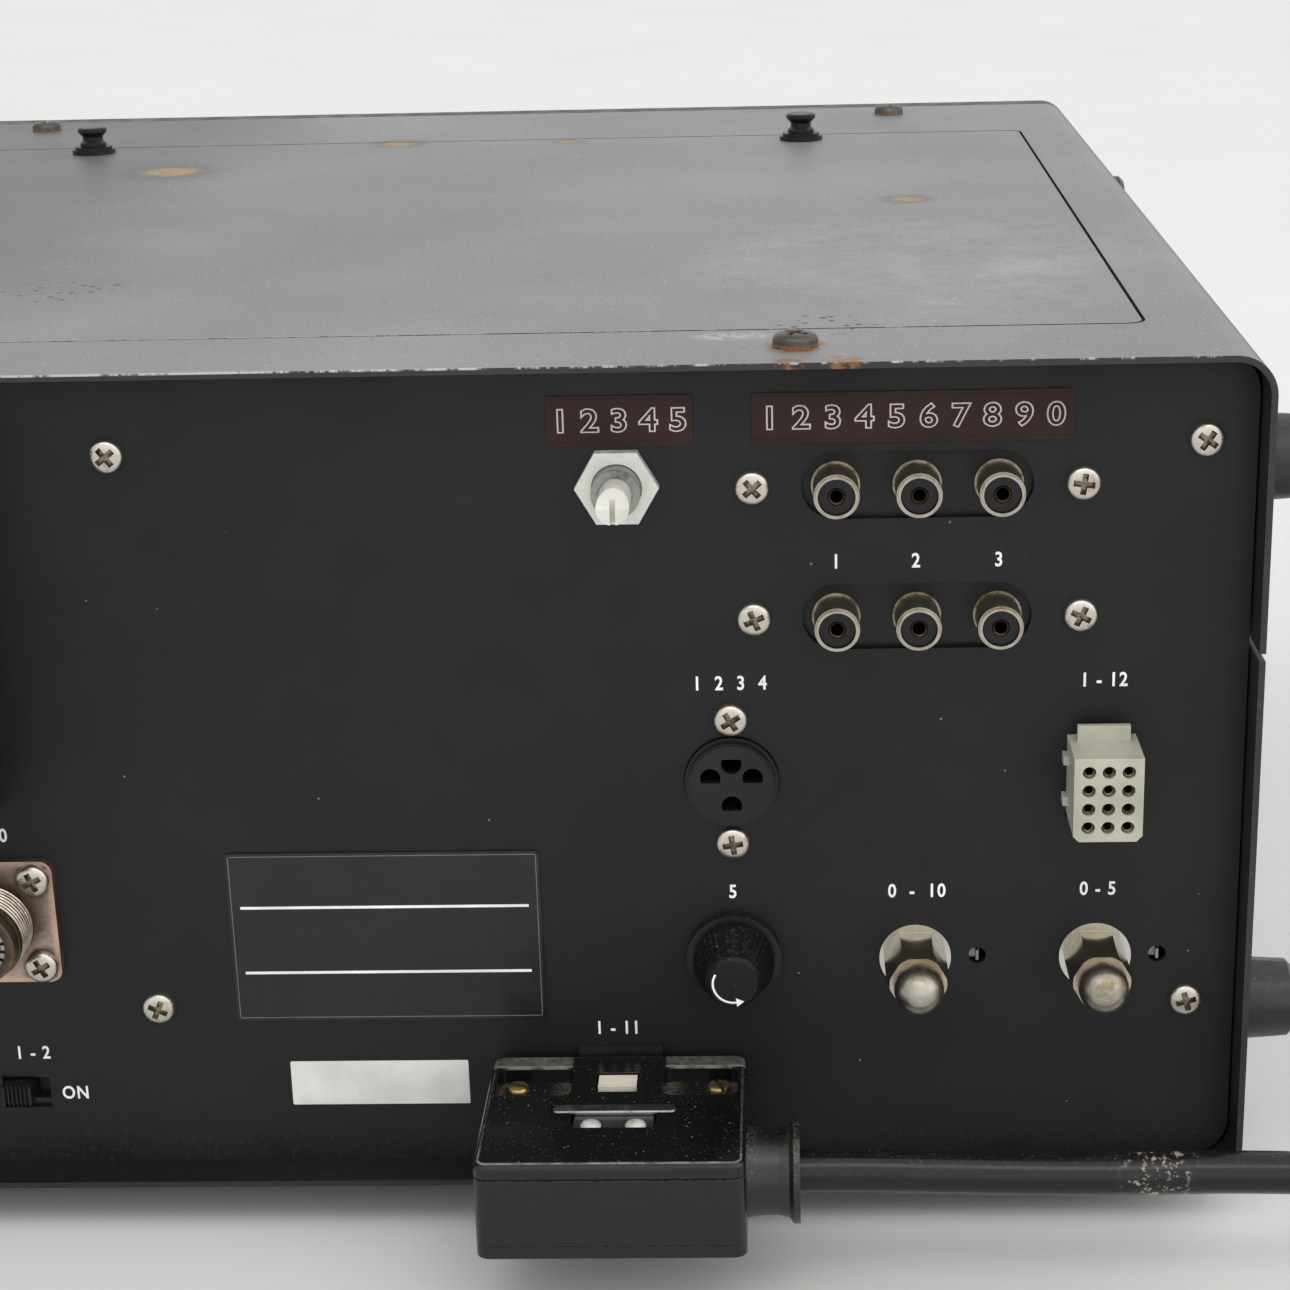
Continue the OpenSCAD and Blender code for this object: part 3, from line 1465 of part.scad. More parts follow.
// Heavy tuning knob with a finger dimple
module tuning_knob() {
    color([0.12, 0.12, 0.13]) difference() {
        knob(tune_x, tune_h, tune_d, tune_l, 36, dial_back + 8);
        on_front(tune_x, tune_h, knob_gap + tune_l) translate([tune_d * 0.24, 0, 2]) sphere(d = 11);
    }
}

dial_front = 4;
dial_t = 2;
dial_back = dial_front + dial_t + 4;
dial_bush = 12;

// Scale disc behind the window, turned by the tuning knob through a reduction
module dial_disc() {
    color([0.9, 0.9, 0.86]) on_front(tune_x, tune_h, -front_t - dial_front - dial_t) difference() {
        union() {
            cylinder(d = dial_d, h = dial_t);
            translate([0, 0, -2]) cylinder(d = dial_bush + 10, h = dial_t + 2);
        }
        translate([0, 0, -3]) cylinder(d = dial_bush + 2 * run_fit, h = dial_t + 6);
    }
}

// Clear panes in the two windows, on a rim behind the front panel
module lenses() {
    color([0.8, 0.85, 0.85, 0.5]) {
        on_front(tune_x, tune_h + dial_up, -front_t - pane_t) linear_extrude(pane_t)
            translate([0, -dial_window_h / 2 - 2]) round_rect(dial_w + 4, dial_window_h + 4, 3);
        on_front(meter_x, meter_up, -front_t - pane_t) linear_extrude(pane_t)
            translate([0, -meter_h / 2]) round_rect(meter_w, meter_h, 3);
    }
}

needle_pivot = 15;

// Meter's box with its scale plate and the needle's pivot post
module meter_case() {
    wall = 1.5;
    color([0.93, 0.92, 0.86]) on_front(meter_x, meter_up, -front_t - pane_t - meter_d) {
        difference() {
            linear_extrude(meter_d) translate([0, -meter_h / 2]) round_rect(meter_w, meter_h, 3);
            translate([0, 0, meter_d - 9]) linear_extrude(10)
                translate([0, -meter_h / 2 + wall])
                    round_rect(meter_w - 2 * wall, meter_h - 2 * wall, 2);
        }
        translate([0, -needle_pivot, meter_d - 9 - eps]) cylinder(d = 3, h = 7);
    }
}

// Thin pointer on the pivot post, standing at the scale's left end
module meter_needle() {
    long = meter_h / 2 + needle_pivot - 8;
    color([0.1, 0.1, 0.1]) on_front(meter_x, meter_up - needle_pivot, -front_t - pane_t - 5)
        rotate([0, 0, needle_rest]) difference() {
            union() {
                cylinder(d = 6, h = 2);
                block([-0.5, 0, 0.5], [0.5, long, 1.5]);
            }
            translate([0, 0, -1]) cylinder(d = 3 + 2 * run_fit, h = 4);
        }
}

needle_rest = 40;
switch_knob = small_knob * 1.3;

// Switch or control knob of diameter d
module plain_knob(x, h, d) {
    color([0.13, 0.13, 0.14]) knob(x, h, d, small_knob_l, 16, 14);
}

module band_knob() {
    plain_knob(switch_x, band_h, switch_knob);
}

module mode_knob() {
    plain_knob(switch_x, row_h, switch_knob);
}

module preselector_knob() {
    plain_knob(presel_x, row_h, small_knob);
}

module gain_knob() {
    plain_knob(gain_x, row_h, small_knob);
}

// Square push button on a stem, with a stop collar behind the panel
module power_button() {
    color([0.8, 0.8, 0.78]) on_front(button_x, button_h) {
        translate([0, 0, -front_t - 6]) cube_on(button_w, button_w, front_t + 12);
        translate([0, 0, -front_t - 3.2]) cube_on(button_w + 4, button_w + 4, 3);
    }
}

// Screwed microphone socket with its contacts' bores
module mic_socket() {
    color([0.75, 0.75, 0.74]) on_front(button_x, mic_h) difference() {
        union() {
            translate([0, 0, -front_t - 10]) cylinder(d = mic_d, h = front_t + 10 + 6);
            cylinder(d = mic_d + 4, h = 1.6);
        }
        translate([0, 0, 1]) cylinder(d = mic_d - 3, h = 6);
        for (a = [0:90:270])
            rotate([0, 0, a + 45]) translate([mic_d / 5, 0, -6]) cylinder(d = 2, h = 9);
    }
}

// Inside

cage_t = 1;

// Perforated cage round the output stage, open to the fan, with flanges for its screws
module output_cage() {
    x0 = from_right(cage_x);
    y0 = rear_y - panel_t;
    z1 = top_z - cage_drop;
    color([0.78, 0.78, 0.76]) difference() {
        union() {
            difference() {
                block([x0, y0 - cage_d, deck_z], [x0 + cage_w, y0, z1]);
                block([x0 + cage_t, y0 - cage_d + cage_t, deck_z - 1],
                      [x0 + cage_w - cage_t, y0 + 1, z1 - cage_t]);
            }
            block([x0, y0 - cage_t, deck_z], [x0 + 12, y0, z1]);
        }
        for (h = [case_h - panel_screw_drop, panel_screw_low])
            on_rear(cage_screw, h, -panel_t - cage_t - 1) cylinder(r = hole_r, h = cage_t + 2);
        for (i = [1:9], j = [1:7])
            translate([x0 + i * cage_w / 10, y0 - j * cage_d / 8, z1 - cage_t - 1])
                cylinder(d = 7, h = cage_t + 2);
    }
}

// Two output tubes standing in their sockets
module output_tubes() {
    mid = from_right(cage_x) + cage_w / 2;
    color([0.75, 0.8, 0.8])
        for (d = [-1, 1])
            translate([mid + d * tube_d * 0.75, rear_y - cage_d / 2, deck_z]) rotate_extrude() polygon([
                [0, 0], [tube_d * 0.45, 0], [tube_d * 0.45, 12], [tube_d * 0.4, 16], [tube_d / 2, 24],
                [tube_d / 2, tube_h - 18], [tube_d * 0.38, tube_h - 6], [tube_d * 0.12, tube_h],
                [0, tube_h]
            ]);
}

vfo_front = front_t + dial_back;
vfo_t = 3;

// Screened oscillator box with the bush that carries the dial
module vfo_box() {
    y1 = front_y + vfo_front;
    x0 = case_x + tune_x - vfo_w / 2;
    color([0.7, 0.7, 0.68]) difference() {
        union() {
            difference() {
                block([x0, y1, deck_z], [x0 + vfo_w, y1 + vfo_d, deck_z + vfo_h]);
                block([x0 + vfo_t, y1 + vfo_t, deck_z - 1],
                      [x0 + vfo_w - vfo_t, y1 + vfo_d - vfo_t, deck_z + vfo_h - vfo_t]);
            }
            on_front(tune_x, tune_h, -vfo_front - eps) cylinder(d = dial_bush, h = dial_back - dial_front);
        }
        on_front(tune_x, tune_h, -vfo_front - 10) cylinder(r = knob_hole, h = vfo_front + 12);
    }
}

// Laminated core with its winding
module mains_transformer() {
    x0 = case_x - case_w / 2 + trafo_side;
    y0 = cover_front + trafo_in;
    end = trafo_d * 0.35;
    color([0.3, 0.28, 0.25]) {
        block([x0, y0, deck_z], [x0 + trafo_w, y0 + trafo_d, deck_z + trafo_h]);
        block([x0 + trafo_w * 0.2, y0 - end, deck_z + trafo_h * 0.16],
              [x0 + trafo_w * 0.8, y0 + trafo_d + end, deck_z + trafo_h * 0.84]);
    }
}

// Signal board on posts, with its coil cans, filter and electrolytics
module signal_board() {
    x0 = case_x - case_w / 2 + board_side;
    y0 = rear_y - board_in - board_d;
    z1 = deck_z + board_up + board_t;
    can = board_w / 15;
    color([0.25, 0.4, 0.22]) {
        block([x0, y0, z1 - board_t], [x0 + board_w, y0 + board_d, z1]);
        for (i = [0.06, 0.94], j = [0.06, 0.94])
            translate([x0 + i * board_w, y0 + j * board_d, deck_z]) cylinder(d = 7, h = board_up + eps);
        for (i = [1:5], j = [1:3])
            translate([x0 + i * board_w / 6, y0 + j * board_d / 5, z1 - eps])
                cube_on(can, can, can * 1.4);
        for (i = [1:4])
            translate([x0 + i * board_w / 5, y0 + board_d * 0.87, z1 - eps]) cylinder(d = can, h = can * 2);
        translate([x0 + board_w / 2, y0 + board_d * 0.74, z1 - eps]) cube_on(can * 4, can, can * 1.6);
    }
}

chassis();
rear_panel();
top_cover();
bottom_cover();
front_frame();
front_panel();
top_lid();
latch_bases();
lid_latch_left();
lid_latch_right();
rubber_feet();
handle_strap();
handle_caps();
cover_screws();
panel_screws();
jack_strips();
jack_shells();
speed_pot();
speed_nut();
speed_shaft();
accessory_socket();
fuse_holder();
fuse_cap();
fuse_link();
remote_connector();
adjust_pots();
cap_nuts();
left_adjuster();
right_adjuster();
antenna_socket();
slide_switch();
slide_knob();
fan_frame();
fan_rotor();
power_socket();
plug_hood();
plug_base();
plug_latch();
plug_screws();
cord_bush();
mains_cord();
cord_coil();
coil_tie();
mains_plug();
tuning_knob();
dial_disc();
lenses();
meter_case();
meter_needle();
band_knob();
mode_knob();
preselector_knob();
gain_knob();
power_button();
mic_socket();
output_cage();
output_tubes();
vfo_box();
mains_transformer();
signal_board();
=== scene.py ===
"""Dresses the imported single-sideband transceiver: camera, lead, paint, small parts and light."""
import math
import random

import bmesh
import bpy
from mathutils import Matrix, Vector

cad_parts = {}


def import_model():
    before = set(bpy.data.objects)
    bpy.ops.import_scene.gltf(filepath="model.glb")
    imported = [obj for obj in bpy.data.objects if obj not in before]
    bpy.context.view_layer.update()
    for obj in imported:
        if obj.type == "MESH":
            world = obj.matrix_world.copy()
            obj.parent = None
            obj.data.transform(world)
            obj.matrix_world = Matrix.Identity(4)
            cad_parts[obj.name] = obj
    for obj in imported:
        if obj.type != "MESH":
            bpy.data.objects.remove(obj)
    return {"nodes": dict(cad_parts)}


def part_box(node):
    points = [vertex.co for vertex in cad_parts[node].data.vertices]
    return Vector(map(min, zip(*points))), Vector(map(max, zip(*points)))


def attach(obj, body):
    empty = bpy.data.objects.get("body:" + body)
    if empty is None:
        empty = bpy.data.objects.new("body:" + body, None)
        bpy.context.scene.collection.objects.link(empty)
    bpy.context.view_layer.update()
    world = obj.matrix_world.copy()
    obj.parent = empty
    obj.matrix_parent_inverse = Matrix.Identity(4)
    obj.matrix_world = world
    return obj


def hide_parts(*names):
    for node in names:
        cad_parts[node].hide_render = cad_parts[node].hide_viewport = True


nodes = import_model()["nodes"]
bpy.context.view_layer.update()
scene = bpy.context.scene
scene.view_settings.view_transform = "Standard"

# Places on the solids, in metres
REAR_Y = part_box("rear_panel")[1].y
FRONT_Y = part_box("front_panel")[0].y
BASE_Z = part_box("bottom_cover")[0].z
RIGHT_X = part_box("top_cover")[0].x
COVER_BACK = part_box("top_cover")[1].y
TOP_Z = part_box("top_cover")[1].z
LID_TABS = 0.0070
LID_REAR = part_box("top_lid")[1].y - LID_TABS
HOOD_LOW, HOOD_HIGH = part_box("plug_hood")
PLUG_X = (HOOD_LOW.x + HOOD_HIGH.x) / 2
PLUG_TOP = HOOD_HIGH.z
PLUG_SIDE = HOOD_LOW.x
BUSH_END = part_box("cord_bush")[0].x
BLOCK_HALF = 0.0088
SHELF = 0.0070
PLUG_SCREW = Vector((0.0194, 0.0123, 0.0033))
REAR_SCREW = Vector((0.095, REAR_Y - 0.0056))
FRONT_SCREW = Vector((0.1255, -0.15265))
CORNERS = ((-1, -1), (-1, 1), (1, -1), (1, 1))


def rear_middle(node):
    """Middle of a rear fitting in millimetres, from the cover's right-hand end and up from its foot."""
    low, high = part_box(node)
    middle = (low + high) / 2
    return (middle.x - RIGHT_X) * 1000, (middle.z - BASE_Z) * 1000


# Fittings on the rear panel, in millimetres
PANEL_SCREW_S = (10.9, 211.3, 349.1)
PANEL_SCREW_H = (147.0, 35.4)
JACK_S, JACK_H = rear_middle("jack_strips")
JACK_ROWS = (JACK_H + 12.6, JACK_H - 12.6)
JACK_PITCH = 14.9
JACK_SCREW = 30.15
SOCKET_S, SOCKET_H = rear_middle("accessory_socket")
SOCKET_SCREW = 12.5
PINS_S = rear_middle("remote_connector")[0]
PINS_H = 81.9
PINS_OUT = 5.1
PINS_PITCH = 3.64
FUSE_S, FUSE_H = rear_middle("fuse_cap")
AERIAL_S, AERIAL_H = rear_middle("antenna_socket")
AERIAL_HOLE = 9.1
FLANGE = 2.0
THREAD_ROOT = 7.9
THREAD_CREST = 8.36
THREAD_PITCH = 1.06
FAN_S, FAN_H = rear_middle("fan_frame")
FAN_HOLE = 35.75
FAN_DEPTH = 25.0

# Front knobs in millimetres: x, height, diameter, length
KNOBS = {
    "tuning_knob": (20.0, 86.0, 60.0, 27.0), "band_knob": (126.0, 114.0, 31.2, 17.0),
    "mode_knob": (126.0, 44.0, 31.2, 17.0), "preselector_knob": (-72.0, 44.0, 24.0, 17.0),
    "gain_knob": (-112.0, 44.0, 24.0, 17.0),
}

# Dial and meter faces in millimetres
DIAL_FACE = -6.98
METER_X = -115.0
METER_H = 105.0
METER_FACE = -13.98


def new_object(name, data):
    thing = bpy.data.objects.new(name, data)
    scene.collection.objects.link(thing)
    return thing


# Camera, solved from the straight edges in the photograph

SENSOR = 36.0
PHOTO_WIDTH = 1290.0
FOCAL_LENGTH = 2650.0


def make_camera():
    """The sensor is in millimetres, the focal length and the photograph's width in pixels."""
    data = bpy.data.cameras.new("camera")
    camera = new_object("camera", data)
    right = Vector((-0.999382, -0.026631, -0.022933))
    up = Vector((-0.013231, -0.319431, 0.947517))
    back = Vector((-0.032558, 0.947235, 0.318882))
    stand = Vector((-0.0918, 0.64135, 0.2764))
    turn = Matrix((right, up, back)).transposed().to_4x4()
    camera.matrix_world = Matrix.Translation(stand) @ turn
    data.sensor_fit = "HORIZONTAL"
    data.sensor_width = SENSOR
    data.lens = SENSOR * FOCAL_LENGTH / PHOTO_WIDTH
    data.shift_x = -0.03902
    scene.camera = camera


make_camera()


# Node materials

DUST = (0.30, 0.27, 0.22)


def grey(level):
    return (level, level, level)


class Nodes:
    """Shader nodes that are built up one at a time; most calls return an output socket."""

    def __init__(self, owner, shader):
        owner.use_nodes = True
        self.tree = owner.node_tree
        self.shader = self.tree.nodes[shader]

    def feed(self, socket, value):
        if isinstance(value, bpy.types.NodeSocket):
            self.tree.links.new(value, socket)
        elif socket.type == "RGBA":
            socket.default_value = (*value, 1.0)
        else:
            socket.default_value = value

    def add(self, kind, inputs, output, **settings):
        """Adds a node with these settings and inputs."""
        node = self.tree.nodes.new("ShaderNode" + kind)
        for key, value in settings.items():
            setattr(node, key, value)
        for key, value in inputs.items():
            self.feed(node.inputs[key], value)
        return node.outputs[output]

    def set(self, **values):
        """Shader inputs by name, with _ for a space."""
        for key, value in values.items():
            self.feed(self.shader.inputs[key.replace("_", " ")], value)

    def span(self, value, low, high, to_low=0.0, to_high=1.0):
        """Smooth step from low to high."""
        inputs = {"Value": value, "From Min": low, "From Max": high, "To Min": to_low, "To Max": to_high}
        return self.add("MapRange", inputs, "Result", interpolation_type="SMOOTHSTEP")


class Paint(Nodes):
    """A material. Places are the piece's own, in metres, and out is measured from the rear panel's face."""

    def __init__(self, name):
        self.material = bpy.data.materials.new(name)
        super().__init__(self.material, "Principled BSDF")
        coords = self.tree.nodes.new("ShaderNodeTexCoord")
        self.place = coords.outputs["Object"]
        self.x, self.y, self.z = [self.add("SeparateXYZ", {0: self.place}, k) for k in range(3)]
        self.out = self.math("SUBTRACT", self.y, REAR_Y)
        self.upward = self.add("SeparateXYZ", {0: coords.outputs["Normal"]}, 2)

    def scaled(self, factors):
        """The place stretched along each axis."""
        return self.add("VectorMath", {0: self.place, 1: factors}, 0, operation="MULTIPLY")

    def noise(self, scale, detail=3.0, rough=0.55, place=None):
        inputs = {"Vector": place or self.place, "Scale": scale, "Detail": detail, "Roughness": rough}
        return self.add("TexNoise", inputs, "Fac")

    def drift(self, scale, detail, low=0.0, high=1.0):
        """Noise that wanders between low and high."""
        return self.span(self.noise(scale, detail), 0.3, 0.7, low, high)

    def cells(self, scale):
        return self.add("TexVoronoi", {"Vector": self.place, "Scale": scale}, "Distance")

    def waves(self, scale, axis):
        return self.add("TexWave", {"Vector": self.place, "Scale": scale}, "Fac", bands_direction=axis)

    def math(self, operation, a, b=0.0):
        return self.add("Math", {0: a, 1: b}, 0, operation=operation)

    def plus(self, a, b):
        return self.math("ADD", a, b)

    def times(self, product, *others):
        for other in others:
            product = self.math("MULTIPLY", product, other)
        return product

    def most(self, a, b):
        return self.math("MAXIMUM", a, b)

    def apart(self, a, b=0.0):
        """How far a is from b, either way."""
        return self.math("ABSOLUTE", self.math("SUBTRACT", a, b))

    def mix(self, amount, a, b):
        return self.add("Mix", {"Factor": amount, 6: a, 7: b}, 2, data_type="RGBA")

    def away(self, centre, stretch=(1.0, 1.0, 1.0)):
        """Distance from centre, with each axis stretched."""
        middle = [c * s for c, s in zip(centre, stretch)]
        return self.add("VectorMath", {0: self.scaled(stretch), 1: middle}, "Value", operation="DISTANCE")

    def spot(self, centre, radius, ragged, stretch=(1.0, 1.0, 1.0)):
        """1 inside a ragged spot round centre, 0 outside."""
        wobble = self.times(self.math("SUBTRACT", self.noise(1.6 / radius, 5.0, 0.7), 0.5), ragged)
        return self.span(self.plus(self.away(centre, stretch), wobble), radius, radius * 0.45)

    def dust(self):
        """Powder and specks, most of them on what faces up."""
        up = self.span(self.upward, 0.3, 0.95, 0.12, 1.0)
        powder = self.span(self.noise(1200.0, 4.0, 0.7), 0.48, 0.85, 0.0, 0.3)
        gate = self.span(self.noise(170.0), 0.45, 0.65)
        specks = self.times(self.span(self.cells(800.0), 0.17, 0.07), gate)
        return self.times(up, self.most(powder, specks))

    def bump(self, height, strength, depth, under=None):
        inputs = {"Strength": strength, "Distance": depth, "Height": height}
        if under is not None:
            inputs["Normal"] = under
        return self.add("Bump", inputs, "Normal")

    def grain(self, scale, strength, depth, detail=3.0):
        """Gives the whole surface a fine grain."""
        self.set(Normal=self.bump(self.noise(scale, detail), strength, depth))


def moulded(name, colour, rough, dust=0.0, grain=900.0, bump=0.08, shine=0.5, depth=0.0):
    """Plastic or rubber with a faint grain, uneven gloss, and fine dust; depth lets light into it."""
    p = Paint(name)
    dark = tuple(c * 0.84 for c in colour)
    light = tuple(min(1.0, c * 1.12 + 0.001) for c in colour)
    tone = p.mix(p.drift(70.0, 4.0), dark, light)
    if dust:
        tone = p.mix(p.times(p.dust(), dust), tone, DUST)
    if depth:
        p.set(Subsurface_Weight=0.5, Subsurface_Scale=depth, Subsurface_Radius=(1.0, 0.8, 0.5))
    gloss = p.drift(160.0, 3.0, rough * 0.8, min(1.0, rough * 1.25))
    p.set(Base_Color=tone, Roughness=gloss, Specular_IOR_Level=shine)
    p.grain(grain, bump, 0.0002, 4.0)
    return p.material


def hood_plastic():
    """Glossy black moulding with specks, a dusty rear shelf, dust on its ledges, and a painted highlight
    along its front edge and the shelf's front edge.
    """
    p = Paint("hood_plastic")
    tone = p.mix(p.noise(60.0, 4.0), (0.0036, 0.0036, 0.0038), (0.0064, 0.0064, 0.0066))
    up = p.span(p.upward, 0.5, 0.95)
    x = p.apart(p.x, PLUG_X)
    down = p.math("SUBTRACT", PLUG_TOP, p.z)
    beside = p.span(x, BLOCK_HALF, BLOCK_HALF + 0.0006)
    specks = p.times(p.span(p.cells(700.0), 0.15, 0.07), p.span(p.noise(140.0), 0.44, 0.62))
    fine = p.times(p.span(p.cells(1700.0), 0.19, 0.09), p.span(p.noise(260.0), 0.42, 0.60, 0.0, 0.6))
    tone = p.mix(p.times(p.most(specks, fine), up, 0.6), tone, (0.40, 0.37, 0.31))
    shelf = p.times(p.span(p.out, SHELF + 0.0006, SHELF), up, beside, p.span(down, 0.0019, 0.0006),
                    p.span(p.noise(900.0, 6.0, 0.8), 0.30, 0.70, 0.15, 1.0))
    tone = p.mix(p.times(shelf, 0.9), tone, (0.165, 0.162, 0.130))
    # Painted highlight: a light line along the front edge of the shelf and along the top's front rim,
    # broken up by noise.
    shelf_edge_highlight = p.times(p.span(p.out, SHELF - 0.0004, SHELF - 0.0001),
                  p.span(p.out, SHELF + 0.0006, SHELF + 0.0003), beside, p.span(down, 0.0006, 0.0003))
    front_rim_highlight = p.times(p.span(down, 0.00026, 0.00016), p.span(down, 0.00003, 0.00009),
                    p.span(p.out, 0.036, 0.042, 0.22, 0.9))
    painted_highlight = p.times(p.most(shelf_edge_highlight, front_rim_highlight), p.span(p.noise(420.0, 4.0), 0.30, 0.60, 0.3, 1.0))
    tone = p.mix(painted_highlight, tone, (0.24, 0.24, 0.23))
    deep = p.times(up, p.span(down, 0.0022, 0.0030))
    rim = p.most(p.span(x, 0.0140, BLOCK_HALF), p.span(p.out, 0.0166, 0.0186))
    rim = p.most(rim, p.span(x, 0.0205, 0.0230))
    ledge = p.times(deep, rim, p.span(p.noise(1300.0, 5.0, 0.75), 0.30, 0.66))
    tone = p.mix(p.times(ledge, 0.8), tone, (0.17, 0.145, 0.10))
    dull = p.most(shelf, ledge)
    p.set(Base_Color=tone, Specular_IOR_Level=0.45)
    p.set(Roughness=p.plus(p.drift(90.0, 4.0, 0.15, 0.24), p.times(dull, 0.35)))
    p.grain(1500.0, 0.05, 0.0002)
    return p.material


def bush_rubber():
    """Black rubber with brown dust at both ends of the bush."""
    p = Paint("bush_rubber")
    tone = p.mix(p.noise(80.0, 4.0), grey(0.0055), grey(0.0090))
    ends = p.most(p.span(p.x, BUSH_END + 0.0032, BUSH_END + 0.0012),
                  p.span(p.x, PLUG_SIDE - 0.0030, PLUG_SIDE - 0.0006))
    up = p.span(p.upward, -0.1, 0.8)
    powder = p.span(p.noise(1400.0, 5.0, 0.75), 0.46, 0.78)
    tone = p.mix(p.times(ends, up, powder, 0.8), tone, (0.23, 0.19, 0.14))
    tone = p.mix(p.times(p.dust(), 0.3), tone, DUST)
    p.set(Base_Color=tone, Specular_IOR_Level=0.5)
    p.set(Roughness=p.drift(160.0, 3.0, 0.26, 0.36))
    p.grain(1300.0, 0.12, 0.0002, 4.0)
    return p.material


def sheath_plastic():
    """Smooth black sheath with dust, and a few plaster specks along one stretch."""
    p = Paint("sheath")
    tone = p.mix(p.noise(70.0, 4.0), (0.0048, 0.0048, 0.0051), (0.0068, 0.0068, 0.0072))
    tone = p.mix(p.times(p.dust(), 0.35), tone, DUST)
    stretch = p.apart(p.x, -0.160)
    clumps = p.times(p.span(p.noise(620.0, 5.0, 0.7), 0.54, 0.62), p.span(stretch, 0.008, 0.003))
    plaster = p.mix(p.noise(900.0), (0.20, 0.15, 0.09), (0.56, 0.51, 0.42))
    tone = p.mix(p.times(clumps, 0.8), tone, plaster)
    p.set(Base_Color=tone, Specular_IOR_Level=0.35)
    p.set(Roughness=p.drift(160.0, 3.0, 0.15, 0.24))
    p.grain(700.0, 0.06, 0.0002, 4.0)
    return p.material


AERIAL = Vector((RIGHT_X + AERIAL_S / 1000, 0.0, BASE_Z + AERIAL_H / 1000))
FLAT = (1.0, 0.0, 1.0)


def flange_plating():
    """Worn plating, dark round the barrel and the screws, pink along the edges."""
    p = Paint("coppered")
    blotch = p.span(p.noise(210.0, 6.0, 0.68), 0.45, 0.72)
    tone = p.mix(blotch, (0.50, 0.375, 0.30), (0.26, 0.19, 0.15))
    edge = p.span(p.most(p.apart(p.x, AERIAL.x), p.apart(p.z, AERIAL.z)), 0.0112, 0.0122)
    tone = p.mix(p.times(edge, 0.7), tone, (0.60, 0.41, 0.33))
    stain = p.spot(AERIAL, 0.0128, 0.005, FLAT)
    for i, j in CORNERS:
        hole = AERIAL + Vector((i, 0.0, j)) * AERIAL_HOLE / 1000
        stain = p.most(stain, p.spot(hole, 0.0054, 0.003, FLAT))
    dark = p.times(stain, p.span(edge, 0.0, 1.0, 1.0, 0.3), 0.95)
    tone = p.mix(dark, tone, (0.035, 0.026, 0.020))
    p.set(Base_Color=tone, Metallic=1.0)
    p.set(Roughness=p.plus(p.times(p.most(blotch, stain), 0.2), 0.30))
    p.set(Normal=p.bump(p.plus(p.noise(1500.0), p.times(blotch, 0.6)), 0.15, 0.00015))
    return p.material


def thread_plating():
    """Worn screw thread with dark grooves and bright crests."""
    p = Paint("thread")
    root = (THREAD_ROOT + 0.16) / 1000
    crest = p.span(p.away(AERIAL, FLAT), root, (THREAD_CREST - 0.02) / 1000)
    blotch = p.span(p.noise(260.0, 6.0, 0.7), 0.42, 0.70)
    ridge = p.mix(blotch, (0.62, 0.55, 0.46), (0.30, 0.22, 0.16))
    p.set(Base_Color=p.mix(crest, (0.03, 0.022, 0.016), ridge), Metallic=1.0)
    p.set(Roughness=p.span(blotch, 0.0, 1.0, 0.28, 0.45))
    p.grain(1500.0, 0.12, 0.00015)
    return p.material


def metal(name, colour, tarnish, rough, amount=0.5, scale=220.0, metallic=1.0):
    """Plated or bare metal with blotches of tarnish and fine scratches."""
    p = Paint(name)
    blotch = p.span(p.noise(scale, 6.0, 0.68), 0.62 - 0.3 * amount, 0.82 - 0.2 * amount)
    lines = p.noise(60.0, 2.0, 0.5, p.scaled((60.0, 4.0, 18.0)))
    shade = p.mix(p.span(lines, 0.3, 0.7), tuple(c * 0.9 for c in colour), colour)
    p.set(Base_Color=p.mix(blotch, shade, tarnish))
    p.set(Roughness=p.plus(p.span(blotch, 0.0, 1.0, rough, rough + 0.3), p.times(lines, 0.08)))
    p.set(Metallic=metallic)
    p.set(Normal=p.bump(p.plus(p.noise(1500.0), p.times(blotch, 0.6)), 0.12, 0.00015))
    return p.material


